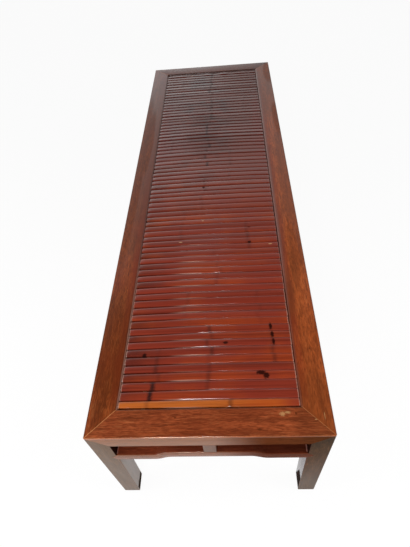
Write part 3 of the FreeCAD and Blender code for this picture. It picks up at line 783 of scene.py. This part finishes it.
    def smoke(self):
        """Smoke and a painted sheen on the slats past the middle. Gives where the smoke is thickest."""
        on, at, colours = self.on, self.at, self.colours
        uneven = at.streaks + at.patches * 0.5 - 0.3
        thickest = self.spots(SMOKED_PATCH, SLAT_LEVEL, SMOKE_DEPTH, uneven) * (0.2 + 0.8 * on.smoked)
        self.lay(on.dusty * on.patch * (0.25 + 0.75 * on.middle) * 0.8, paint(colours.bamboo_knot))
        self.lay(thickest * 0.55, paint(colours.bamboo_knot))
        self.lay(on.tips * on.red_tips * 0.4, paint(colours.bamboo_red, 0.8))
        # painted sheen on the left of the slats past the middle
        self.lay(on.hazy_left * on.hazy * 0.12, paint(colours.grey_sheen))
        return thickest

    def made(self):
        """The whole material: the tones, then dark seams that widen and darken towards the far end as painted
        shade, dark knots, stains, chips, pale ends that are partly worn and partly a painted highlight, and
        painted glints along the seams.
        """
        on, at, colours = self.on, self.at, self.colours
        self.tones()
        smoke = self.smoke()
        seam = on.near_seam.most(on.far_seam).most(on.wide_seam * on.wide_seams * 0.85)
        softened = on.clean_right * on.clean_seams
        ring = on.ring * at.knot_tone
        stain = self.spots(SLAT_STAINS, SLAT_LEVEL, MARK_DEPTH, at.ragged * 0.9)
        chips = self.spots(SLAT_CHIPS, SLAT_LEVEL, MARK_DEPTH, at.ragged * 0.9)
        pale_line = on.rubbed_edge * on.rubbed_middle * on.rubbed_edges * on.rubs
        # dark seams: dark joints, widened and darkened towards the far end as painted shade
        self.lay(seam * (0.55 + 0.35 * on.dirtier) * (1 - softened * 0.7), paint(colours.bamboo_red, 0.3))
        self.lay(ring, paint(colours.bamboo_knot))
        self.lay(stain * 0.92, paint(colours.bamboo_knot, 0.4))
        self.lay(chips * 0.7, paint(colours.bare_wood))
        # pale slat ends: partly worn, partly a painted highlight on the near slats
        self.lay(on.ends * (0.1 + 0.9 * on.rubbed_ends) * 0.55, paint(colours.pale_rub_and_glint))
        # painted glints along the seams of slats in the middle
        self.lay(pale_line * 0.6, paint(colours.pale_rub_and_glint))

        # edges that still shine: the middle of many slats, the nearest slat and the right end of the second
        glint = (on.glint * on.glints * on.glinting_edges).most(on.right_glint * on.second)
        glint = glint.most(on.near_glint * on.nearest)
        roughness = 0.13 + at.worn * 0.10 + on.dusty * 0.26 + stain * 0.1 + chips * 0.3
        roughness = roughness * (1 - glint * seam * 0.6)
        height = at.fibres * 0.4 + at.streaks * 0.6 + ring * -0.6 + stain * -0.8
        bare = stain.most(ring).most(smoke * 0.5).most(on.dull_right * on.farthest * 0.5)
        coat = ((0.15 + 0.80 * on.coated) * (1 - bare)).most(glint * seam * 0.9)
        dull = (seam * (1 - glint) * (1 - softened * 0.6)).most(stain)
        return self.surface(roughness, height, self.BUMP_DEPTH, coat, self.COAT_ROUGHNESS, self.SHINE, dull)


class BenchOperator:
    """What the bench's operators share."""

    bl_options = {"REGISTER", "UNDO"}

    @property
    def sizes(self):
        return bpy.context.scene.bench_sizes

    @property
    def colours(self):
        return bpy.context.scene.bench_colours


class BENCH_OT_frame_rails(BenchOperator, bpy.types.Operator):
    """Builds the four mitred rails of the top"""

    bl_idname = "bench.frame_rails"
    bl_label = "Frame rails"

    # strength and cast of each rail's heartwood, and its worn marks, painted sheen and painted shade
    TONES = {
        ("end", "near"): (0.77, (1.0, 1.03, 1.5), {
            "redness": 0.24, "figure": 1.1, "coat": 0.0, "shine": 0.18, "tan": 0.55, "dull_right": 1.0,
            "tint": WARM}),
        ("side", "right"): (0.90, PLAIN, {
            "redness": 0.10, "figure": 0.9, "coat": 0.1, "lip_sheen": 0.55, "dark_edge": 0.5, "dry": 0.55}),
        ("end", "far"): (0.42, PLAIN, {
            "redness": 0.30, "gloss": 0.34, "coat": 0.1, "shine": 0.34, "painted_shade": 0.9, "grey_sheen": 0.12}),
        ("side", "left"): (0.64, PLAIN, {
            "redness": 0.40, "figure": 1.1, "coat": 0.12, "lip_rub": 0.35, "dark_edge": 0.6, "dry": 0.75,
            "grey_sheen": 0.25}),
    }

    def rail(self, run):
        """A rail with its ledge, along X, with its outer face on Y = 0."""
        sizes = self.sizes
        tall = HIGH.z - RAIL_BOTTOM
        wide = sizes.rail_top_width
        ledge = sizes.ledge_level - RAIL_BOTTOM
        bm = new_block((0, 0, 0), (run, wide, tall))
        score(bm, (0, 0, ledge), (0, 0, 1))
        inner = [face for face in bm.faces
                 if face.normal.y > FACING and face.calc_center_median().z < ledge]
        bmesh.ops.translate(bm, vec=(0, RAIL_DEPTH - wide, 0), verts=drawn_out(bm, inner))
        ease(bm, edges_along(bm, "x", y=0, z=tall), sizes.top_arris, 5)
        ease(bm, edges_along(bm, "x", y=wide, z=tall), sizes.lip_round, 6)
        fine = [edge for y, z in ((0, 0), (RAIL_DEPTH, ledge), (RAIL_DEPTH, 0))
                for edge in edges_along(bm, "x", y=y, z=z)]
        ease(bm, fine, sizes.fine_arris)
        back = sizes.joint_gap / 2
        leg = sizes.leg_width
        rim = sizes.corner_round
        for end, way in ((0, 1), (run, -1)):
            slice_off(bm, (end + way * back, 0, 0), (-way, 1, 0))
            round_off(bm, (end + way * rim, rim, 0), rim, (0, -1, 0), (-way, 0, 0))
            slice_off(bm, (end + way * leg, 0, back), (-way / leg, 0, -1 / tall))
        bmesh.ops.translate(bm, vec=(0, 0, RAIL_BOTTOM), verts=bm.verts)
        return bm

    def execute(self, context):
        for quarter, (kind, where) in enumerate(EDGE_NAMES):
            bm = self.rail(edge_length(quarter))
            set_at_corner(bm, quarter)
            strength, cast, wear_and_light = self.TONES[kind, where]
            heart = [strength * part * shift for part, shift in zip(self.colours.heartwood, cast)]
            grain = "X" if kind == "end" else "Y"
            wood = FrameWood(self.colours, f"{where}_{kind}_rail_wood", grain, heart, **wear_and_light)
            finished(bm, f"{where}_{kind}_rail", f"{kind}_rail_{where}", wood.made())
        return {"FINISHED"}


class BENCH_OT_legs(BenchOperator, bpy.types.Operator):
    """Builds the four legs, mitred into the rails at the top"""

    bl_idname = "bench.legs"
    bl_label = "Legs"

    # the worn marks of each side's legs, with painted shade on the walls above the stretchers, and a painted
    # pale reflection and painted shadow on the inner faces
    WEAR_AND_LIGHT = {
        "left": {"redness": 0.1, "figure": 0.5, "gloss": 0.28, "coat": 0.0, "shine": 0.25,
                 "inner_grime": 1.0, "inner_coat": 0.08, "foot_stain": 0.034, "tint": WARM},
        "right": {"redness": 0.1, "figure": 0.6, "gloss": 0.32, "coat": 0.0, "shine": 0.3, "dull_right": 0.80,
                  "inner_grime": 1.0, "inner_coat": 1.0, "foot_stain": 0.125, "tint": WARM},
    }

    def leg(self):
        """A tapered leg with its outer corner on the Z axis."""
        sizes = self.sizes
        wide, foot = sizes.leg_width, sizes.foot_width
        tall = HIGH.z - RAIL_BOTTOM
        bm = new_block((0, 0, 0), (wide, wide, HIGH.z))
        ease(bm, edges_along(bm, "z", x=0, y=0), sizes.corner_round, 6)
        fine = [edge for x, y in ((wide, 0), (0, wide), (wide, wide))
                for edge in edges_along(bm, "z", x=x, y=y)]
        ease(bm, fine, sizes.fine_arris)
        back = sizes.joint_gap / 2
        taper = (wide - foot) / STRETCHER_BOTTOM
        slice_off(bm, (wide, 0, RAIL_BOTTOM - back), (1 / wide, 0, 1 / tall))
        slice_off(bm, (0, wide, RAIL_BOTTOM - back), (0, 1 / wide, 1 / tall))
        rim = sizes.top_arris
        round_off(bm, (0, rim, HIGH.z - rim), rim, (0, -1, 0), (0, 0, 1))
        round_off(bm, (rim, 0, HIGH.z - rim), rim, (-1, 0, 0), (0, 0, 1))
        slice_off(bm, (foot, 0, 0), (1, 0, -taper))
        slice_off(bm, (0, foot, 0), (0, 1, -taper))
        sole = [edge for edge in bm.edges if all(vert.co.z < SAME_PLACE for vert in edge.verts)]
        ease(bm, sole, sizes.sole_arris)
        return bm

    def execute(self, context):
        brown = self.colours.leg_brown
        woods = {side: FrameWood(self.colours, f"{side}_leg_wood", "Z", brown, **self.WEAR_AND_LIGHT[side]).made()
                 for side in SIDES}
        for quarter, (end, side) in enumerate(CORNER_NAMES):
            bm = self.leg()
            set_at_corner(bm, quarter)
            finished(bm, f"{end}_{side}_leg", f"leg_{end}_{side}", woods[side])
        return {"FINISHED"}


class BENCH_OT_stretchers(BenchOperator, bpy.types.Operator):
    """Builds the humpback stretchers with their pointed shoulders"""

    bl_idname = "bench.stretchers"
    bl_label = "Humpback stretchers"

    BEND_STEPS = 10
    EDGE_SOFTNESS = 1.8
    # direction of the grain, and the worn marks, painted shade and painted highlight of each kind
    WOODS = {
        "end": ("X", {"redness": 0.3, "figure": 0.7, "gloss": 0.20, "coat": 0.0, "shine": 0.28, "tan": 0.3,
                      "dull_right": 0.9, "top_grime": 0.3, "corner_dust": 0.8, "bright_rim": 1.0,
                      "tint": WARM}),
        "side": ("Y", {"redness": 0.5, "figure": 0.8}),
    }

    def point(self, bm, way):
        """Draws one end out into a point on the leg's face."""
        sizes = self.sizes
        half = sizes.stretcher_height / 2
        tip = [face for face in bm.faces
               if face.normal.x * way > FACING and face.calc_center_median().y < sizes.shoulder_depth]
        verts = drawn_out(bm, tip)
        bmesh.ops.translate(bm, vec=(way * half, 0, 0), verts=verts)
        bmesh.ops.scale(bm, vec=(1, 1, 0), verts=verts, space=Matrix.Translation((0, 0, -half)))
        bmesh.ops.remove_doubles(bm, verts=bm.verts, dist=SAME_PLACE)

    def stretcher(self, run):
        """A bar along X, pointed at both ends and raised between its two bends."""
        sizes = self.sizes
        tall = sizes.stretcher_height
        rise = STRETCHER_TOP - STRETCHER_BOTTOM - tall
        first, last = sizes.leg_width, run - sizes.leg_width
        bm = new_block((first, -sizes.shoulder_proud, 0), (last, STRETCHER_DEPTH, tall))
        score(bm, (0, sizes.shoulder_depth, 0), (0, 1, 0))
        self.point(bm, -1)
        self.point(bm, 1)
        bmesh.ops.dissolve_limit(bm, angle_limit=FLAT_ANGLE, verts=bm.verts[:], edges=bm.edges[:])
        long_edges = [edge for y in (-sizes.shoulder_proud, STRETCHER_DEPTH) for z in (0, tall)
                      for edge in edges_along(bm, "x", y=y, z=z)]
        ease(bm, long_edges, sizes.fine_arris * self.EDGE_SOFTNESS, 4)
        start = first + sizes.hump_start
        for step in range(self.BEND_STEPS + 1):
            station = start + sizes.hump_run * step / self.BEND_STEPS
            score(bm, (station, 0, 0), (1, 0, 0))
            score(bm, (run - station, 0, 0), (1, 0, 0))
        for vert in bm.verts:
            inward = min(vert.co.x, run - vert.co.x) - start
            share = min(max(inward / sizes.hump_run, 0), 1)
            vert.co.z += rise * share * share * (3 - 2 * share)
        bmesh.ops.translate(bm, vec=(0, 0, STRETCHER_BOTTOM), verts=bm.verts)
        return bm

    def execute(self, context):
        heart = self.colours.stretcher_red
        woods = {kind: FrameWood(self.colours, f"{kind}_stretcher_wood", grain, heart, **wear_and_light).made()
                 for kind, (grain, wear_and_light) in self.WOODS.items()}
        for quarter, (kind, where) in enumerate(EDGE_NAMES):
            bm = self.stretcher(edge_length(quarter))
            set_at_corner(bm, quarter)
            finished(bm, f"{where}_{kind}_stretcher", f"{kind}_stretcher_{where}", woods[kind])
        return {"FINISHED"}


class BENCH_OT_struts(BenchOperator, bpy.types.Operator):
    """Builds the short struts between the rails and the stretchers"""

    bl_idname = "bench.struts"
    bl_label = "Struts"

    WEAR_AND_LIGHT = {"redness": 0.3, "figure": 0.6, "gloss": 0.28, "coat": 0.0, "shine": 0.33}

    def strut(self, name, node, material):
        low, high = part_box(node)
        bm = new_block((low.x, low.y, STRETCHER_TOP), (high.x, high.y, RAIL_BOTTOM))
        ease(bm, edges_along(bm, "z"), self.sizes.fine_arris)
        close_up(bm)
        finished(bm, name, node, material)

    def execute(self, context):
        material = FrameWood(self.colours, "strut_wood", "Z", self.colours.leg_brown, **self.WEAR_AND_LIGHT).made()
        for end in ENDS:
            self.strut(f"{end}_end_strut", f"end_strut_{end}", material)
        for side in SIDES:
            for number in range(1, SIDE_STRUTS + 1):
                self.strut(f"{side}_side_strut_{number}", f"side_strut_{side}_{number}", material)
        return {"FINISHED"}


class BENCH_OT_braces(BenchOperator, bpy.types.Operator):
    """Builds the rough braces that carry the slats from below"""

    bl_idname = "bench.braces"
    bl_label = "Braces"

    EDGE_SOFTNESS = 2

    def execute(self, context):
        material = brace_wood(self.colours)
        reach = HIGH.x - RAIL_DEPTH
        for number in range(1, BRACES + 1):
            low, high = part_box(f"brace_{number}")
            bm = new_block((-reach, low.y, low.z), (reach, high.y, high.z))
            ease(bm, edges_along(bm, "x", z=low.z), self.sizes.fine_arris * self.EDGE_SOFTNESS)
            close_up(bm)
            finished(bm, f"cross_brace_{number}", f"brace_{number}", material)
        return {"FINISHED"}


class BENCH_OT_slats(BenchOperator, bpy.types.Operator):
    """Lays the bamboo slats, each a little different, in four groups"""

    bl_idname = "bench.slats"
    bl_label = "Bamboo slats"

    SEED = 72
    SLATS = 72
    STEPS_ALONG = 26
    STEPS_ACROSS = 8
    FIRST_SHARE = 0.84
    WIDTHS = (0.86, 1.14)
    WIDTH_SCATTER = 0.05
    GAPS = (0.5, 1.7)
    # how far a slat runs past its solid on each side, and how far the right ends draw in at mid-length
    LEFT_REACH = 0.0036
    RIGHT_REACH = 0.0022
    RIGHT_HOLLOW = 0.004
    LEFT_SCATTER = (-0.0002, 0.0006)
    RIGHT_SCATTER = (-0.0010, 0.0004)
    END_SHARE = 0.004
    END_DROP = 0.0006
    # the mat's sag to the near end on its left, and its ripples
    SAG = -0.0042
    SAG_SHARE = 0.62
    RIPPLE = 0.0018
    FINE_RIPPLE = 0.0005
    # one slat's crookedness
    LIFT = (-0.0007, 0.0003)
    LEAN = 0.022
    TWIST = 0.022
    TWISTS = (0.2, 1.4)
    LEFT_START = 0.25
    PINCH = 0.0010
    PINCH_START = -0.15
    PINCH_RUN = 0.35
    FLATTEST_CROWN = 0.4
    CROWNS = (0.8, 1.2)
    ROUNDING_POWER = 14
    BOW = 0.0004
    BOW_SCATTER = (-0.0003, 0.0005)
    FAR_BOW = 0.0020
    FAR_BOW_SHARE = 0.62
    FAR_BOW_SPREAD = 0.18
    WAVE = 0.0004
    LAST_WAVE = 0.0022
    LEDGE_CLEARANCE = 0.0002
    # knots
    KNOT_STEPS = (-0.020, -0.009, 0.0, 0.009, 0.020)
    KNOT_RISE = 0.0004
    KNOT_WIDTH = 0.004
    KNOT_SCATTER = 0.0045
    KNOT_TONES = (0.2, 1.5)
    # first slat, last slat, place across the bench and darkness of knots that run on over neighbours
    KNOT_ROWS = (
        (0, 0, -0.134, 0.55), (1, 2, -0.134, 0.85), (0, 0, 0.064, 0.45), (2, 9, 0.004, 0.40),
        (5, 9, 0.160, 0.30), (3, 6, -0.122, 0.35), (10, 15, -0.060, 0.15), (10, 14, 0.130, 0.12),
        (16, 22, 0.020, 0.15), (23, 29, -0.085, 0.15), (22, 27, 0.118, 0.25), (30, 36, -0.022, 0.25),
        (37, 43, 0.070, 0.15), (40, 52, -0.014, 0.60), (44, 50, -0.150, 0.15), (53, 71, 0.000, 0.55),
        (56, 62, 0.140, 0.15), (63, 69, -0.130, 0.2),
    )

    def spread(self, chance):
        """The near and far edge of each slat, from the near rail to the far one."""
        narrow, broad = self.WIDTHS
        shares = [max(narrow, min(broad, chance.gauss(1, self.WIDTH_SCATTER))) for _ in range(self.SLATS)]
        shares[0] = self.FIRST_SHARE
        scale = (SLATS_HIGH.y - SLATS_LOW.y) / sum(shares)
        places, at = [], SLATS_LOW.y
        for share in shares:
            gap = self.sizes.slat_gap * chance.uniform(*self.GAPS)
            places.append((at + gap / 2, at + share * scale - gap / 2))
            at += share * scale
        return places

    def drawn(self, number, near, far, chance):
        """One slat's own ends, knots and crookedness."""
        slat = SimpleNamespace(number=number, near=near, far=far)
        slat.knots = [
            (where + chance.gauss(0, self.KNOT_SCATTER), min(1.0, dark * chance.uniform(*self.KNOT_TONES)))
            for first, last, where, dark in self.KNOT_ROWS if first <= number <= last]
        share = number / (self.SLATS - 1)
        hollow = self.RIGHT_HOLLOW * share * (1 - share)
        slat.start = SLATS_LOW.x - self.LEFT_REACH + chance.uniform(*self.LEFT_SCATTER)
        slat.end = SLATS_HIGH.x + self.RIGHT_REACH - hollow + chance.uniform(*self.RIGHT_SCATTER)
        slat.lift = chance.uniform(*self.LIFT)
        slat.lean = chance.gauss(0, self.LEAN)
        slat.twist = chance.uniform(*self.TWISTS) * self.TWIST
        slat.pinch = chance.uniform(0.0, 1.0) * self.PINCH
        flatter = max(self.FLATTEST_CROWN, 1 - 2 * share)
        slat.crown = self.sizes.slat_crown * flatter * chance.uniform(*self.CROWNS)
        far_bow = self.FAR_BOW * math.exp(-((share - self.FAR_BOW_SHARE) / self.FAR_BOW_SPREAD) ** 2)
        slat.bow = self.BOW + far_bow + chance.uniform(*self.BOW_SCATTER)
        return slat

    def blank(self, bm, slat):
        """A flat grid with cuts at its ends and knots, made a block of unit sides."""
        bmesh.ops.create_grid(bm, x_segments=self.STEPS_ALONG, y_segments=self.STEPS_ACROSS, size=0.5)
        cuts = [self.END_SHARE - 0.5, 0.5 - self.END_SHARE]
        for knot, _ in slat.knots:
            middle = (knot - slat.start) / (slat.end - slat.start) - 0.5
            cuts += [middle + step for step in self.KNOT_STEPS]
        for cut in cuts:
            score(bm, (cut, 0, 0), (1, 0, 0))
        under = bmesh.ops.extrude_face_region(bm, geom=bm.faces[:])["geom"]
        verts = [part for part in under if isinstance(part, bmesh.types.BMVert)]
        bmesh.ops.translate(bm, vec=(0, 0, -1), verts=verts)
        bmesh.ops.recalc_face_normals(bm, faces=bm.faces)

    def sway(self, x, y):
        """How far the mat is pushed along the bench at a place: its left side sags to the near end."""
        t = (x - SLATS_LOW.x) / (SLATS_HIGH.x - SLATS_LOW.x)
        span = (y - SLATS_LOW.y) / (SLATS_HIGH.y - SLATS_LOW.y)
        loose = math.sin(math.pi * min(max(span, 0), 1)) ** 0.5
        sag = max(0.0, self.SAG_SHARE - t) / self.SAG_SHARE
        ripple = noise.noise((x * 4.0, y * 5.0, 0.3)) * self.RIPPLE
        ripple += noise.noise((x * 12, y * 9, 4.1)) * self.FINE_RIPPLE
        return (self.SAG * sag * sag + ripple) * loose

    def back(self, slat, x, t, s):
        """Height of a slat's back at x, for t along it from -0.5 to 0.5 and s across it from -1 to 1."""
        left = max(0.0, self.LEFT_START - t)
        rounding = self.sizes.slat_shoulder * (1 + 2 * left) * s ** self.ROUNDING_POWER
        z = SLATS_HIGH.z - slat.crown * (1 + left) * s * s - rounding + slat.lift
        z += slat.bow * (1 - (2 * t) ** 2) + (slat.lean - slat.twist * left) * s * (slat.far - slat.near) / 2
        z += noise.noise((x * 7, slat.number * 3.7, 1.9)) * self.WAVE
        for knot, _ in slat.knots:
            z += self.KNOT_RISE * math.exp(-((x - knot) / self.KNOT_WIDTH) ** 2)
        if abs(t) > 0.5 - self.END_SHARE / 2:
            z -= self.END_DROP
        if slat.number == self.SLATS - 1:
            z += noise.noise((x * 26, 0, 8.8)) * self.LAST_WAVE
        return z

    def lay(self, bm, slat):
        """Shapes a slat from its blank and marks its number and knots."""
        laid = bm.loops.layers.uv.new("laid")
        marks = bm.verts.layers.float.new("slat")
        away = bm.verts.layers.float.new("knot")
        tone = bm.verts.layers.float.new("tone")
        for face in bm.faces:
            for loop in face.loops:
                loop[laid].uv = (loop.vert.co.x + 0.5, 0.5 + 0.5 * math.sin(math.pi * loop.vert.co.y))
        for vert in bm.verts:
            t, s = vert.co.x, math.sin(math.pi * vert.co.y)
            pinched = slat.pinch * max(0.0, self.PINCH_START - t) / self.PINCH_RUN * (1 - s)
            x = slat.start + (slat.end - slat.start) * (t + 0.5)
            y = (slat.near + slat.far) / 2 + s * (slat.far - slat.near) / 2 + pinched
            if vert.co.z > -0.5:
                z = self.back(slat, x, t, s)
            else:
                z = self.sizes.ledge_level + self.LEDGE_CLEARANCE
                z += max(0.0, slat.bow) * (1 - (2 * t) ** 2) * 0.5
            knot, dark = min(slat.knots, key=lambda one: abs(x - one[0]), default=(x + 1, 0.0))
            vert[marks] = slat.number
            vert[away] = abs(x - knot)
            vert[tone] = dark
            vert.co = (x, y + self.sway(x, y), z)

    def execute(self, context):
        chance = random.Random(self.SEED)
        material = SlatBamboo(self.colours, "lacquered_bamboo").made()
        places = self.spread(chance)
        each = self.SLATS // SLAT_GROUPS
        for group in range(SLAT_GROUPS):
            mat = bmesh.new()
            for number in range(group * each, (group + 1) * each):
                slat = self.drawn(number, *places[number], chance)
                bm = bmesh.new()
                self.blank(bm, slat)
                self.lay(bm, slat)
                single = bpy.data.meshes.new("single_slat")
                bm.to_mesh(single)
                bm.free()
                mat.from_mesh(single)
                bpy.data.meshes.remove(single)
            finished(mat, f"slats_{group + 1}", f"bamboo_slats_{group + 1}", material)
        return {"FINISHED"}


class BENCH_OT_threads(BenchOperator, bpy.types.Operator):
    """Finishes the bamboo strips that string the slats together"""

    bl_idname = "bench.threads"
    bl_label = "Threading strips"

    def execute(self, context):
        material = raw_bamboo(self.colours)
        for number in range(1, THREADS + 1):
            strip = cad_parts[f"mat_thread_{number}"]
            for slot in strip.material_slots:
                slot.material = material
        return {"FINISHED"}


class BENCH_OT_stage(BenchOperator, bpy.types.Operator):
    """Sets the floor, the lamps, the world and the camera"""

    bl_idname = "bench.stage"
    bl_label = "Stage"

    FLOOR_REACH = 90.0
    FLOOR_DROP = 0.0004
    FLOOR_WHITE = 0.93
    FLOOR_PALE = (0.92, 0.92, 0.92)
    SENSOR = 36
    # name, place, target, width, height, power in watts
    LAMPS = (
        ("soft_left", (-1.5, -1.00, 1.30), (0, -0.6, 0.42), 0.8, 0.6, 16),
        ("soft_right", (1.5, -1.00, 1.30), (0, -0.6, 0.42), 0.8, 0.6, 17),
        ("low_window", (-0.42, 5.0, 0.80), (0, 0, 0.42), 0.9, 0.35, 5),
        ("back_window", (-0.45, -3.6, 2.2), (0, -0.9, 0.42), 0.7, 0.5, 64),
    )

    def floor(self):
        """A pale floor just under the feet, white to the camera and in reflections."""
        bm = bmesh.new()
        bmesh.ops.create_grid(bm, x_segments=1, y_segments=1, size=self.FLOOR_REACH)
        mesh = bpy.data.meshes.new("floor")
        bm.to_mesh(mesh)
        bm.free()
        floor = bpy.data.objects.new("floor", mesh)
        floor.location.z = -self.FLOOR_DROP
        bpy.context.scene.collection.objects.link(floor)
        finish = Finish("white_floor")
        seen, mirrored, through = [finish.node("ShaderNodeLightPath", output=f"Is {ray} Ray")
                                   for ray in ("Camera", "Glossy", "Transmission")]
        matt = finish.node("ShaderNodeBsdfDiffuse", None, {"Color": paint(self.FLOOR_PALE)})
        white = finish.node("ShaderNodeEmission", None, {"Color": (1, 1, 1, 1), "Strength": 1.0})
        shown = seen.most(mirrored).most(through) * self.FLOOR_WHITE
        both = finish.node("ShaderNodeMixShader", None, {0: shown, 1: matt, 2: white})
        finish.node("ShaderNodeOutputMaterial", None, {"Surface": both})
        mesh.materials.append(finish.material)

    def world(self):
        """Pale round the horizon, darker overhead and a little brighter on the left."""
        world = bpy.data.worlds.new("studio")
        world.use_nodes = True
        sky = Nodes(world.node_tree)
        x, y, z = sky.axes(sky.node("ShaderNodeTexCoord", output="Generated"))
        beyond = sky.fade(y, -0.2, 0.3)
        overhead = beyond * sky.fade(z, 0.35, 0.85) + (1 - beyond) * sky.fade(z, 0.3, 0.8)
        side = 1.2 - 0.45 * sky.fade(x, -0.45, 0.35)
        strength = (1 - 0.95 * overhead) * side
        soft = sky.node("ShaderNodeBackground", None, {"Color": (1, 1, 1, 1), "Strength": strength})
        sky.node("ShaderNodeOutputWorld", None, {"Surface": soft})
        bpy.context.scene.world = world

    def lamp(self, name, place, target, width, height, power):
        """A soft rectangular lamp that the camera doesn't see."""
        light = bpy.data.lights.new(name, "AREA")
        light.shape = "RECTANGLE"
        light.size = width
        light.size_y = height
        light.energy = power
        lamp = bpy.data.objects.new(name, light)
        lamp.location = place
        lamp.visible_camera = False
        lamp.rotation_euler = (Vector(target) - Vector(place)).to_track_quat("-Z", "Y").to_euler()
        bpy.context.scene.collection.objects.link(lamp)

    def camera(self):
        """The camera at the photograph's angle."""
        stage = bpy.context.scene.bench_stage
        data = bpy.data.cameras.new("camera")
        data.lens = stage.lens
        data.sensor_width = self.SENSOR
        camera = bpy.data.objects.new("camera", data)
        turn = (Matrix.Rotation(stage.yaw, 4, "Z") @ Matrix.Rotation(math.pi / 2 - stage.pitch, 4, "X")
                @ Matrix.Rotation(stage.roll, 4, "Z"))
        camera.matrix_world = Matrix.Translation(stage.place) @ turn
        bpy.context.scene.collection.objects.link(camera)
        bpy.context.scene.camera = camera

    def execute(self, context):
        self.floor()
        self.world()
        for lamp in self.LAMPS:
            self.lamp(*lamp)
        self.camera()
        bpy.context.scene.view_settings.view_transform = "Standard"
        return {"FINISHED"}


class BENCH_PT_panel(bpy.types.Panel):
    """Lists the bench's pieces, sizes and colours."""

    bl_idname = "BENCH_PT_panel"
    bl_label = "Slatted Bench"
    bl_space_type = "VIEW_3D"
    bl_region_type = "UI"
    bl_category = "Bench"

    def draw(self, context):
        layout = self.layout
        for operator in OPERATORS:
            layout.operator(operator.bl_idname)
        for group in (context.scene.bench_sizes, context.scene.bench_colours, context.scene.bench_stage):
            box = layout.box()
            for name in group.bl_rna.properties.keys():
                if name not in ("rna_type", "name"):
                    box.prop(group, name)


GROUPS = (("bench_sizes", BenchSizes), ("bench_colours", BenchColours), ("bench_stage", BenchStage))
OPERATORS = (
    BENCH_OT_frame_rails, BENCH_OT_legs, BENCH_OT_stretchers, BENCH_OT_struts,
    BENCH_OT_braces, BENCH_OT_slats, BENCH_OT_threads, BENCH_OT_stage,
)


def register():
    for name, group in GROUPS:
        bpy.utils.register_class(group)
        setattr(bpy.types.Scene, name, bpy.props.PointerProperty(type=group))
    for cls in (*OPERATORS, BENCH_PT_panel):
        bpy.utils.register_class(cls)


def unregister():
    for cls in reversed((*OPERATORS, BENCH_PT_panel)):
        bpy.utils.unregister_class(cls)
    for name, group in reversed(GROUPS):
        delattr(bpy.types.Scene, name)
        bpy.utils.unregister_class(group)


def main():
    register()
    bpy.ops.bench.frame_rails()
    bpy.ops.bench.legs()
    bpy.ops.bench.stretchers()
    bpy.ops.bench.struts()
    bpy.ops.bench.braces()
    bpy.ops.bench.slats()
    bpy.ops.bench.threads()
    bpy.ops.bench.stage()


if __name__ == "__main__":
    main()
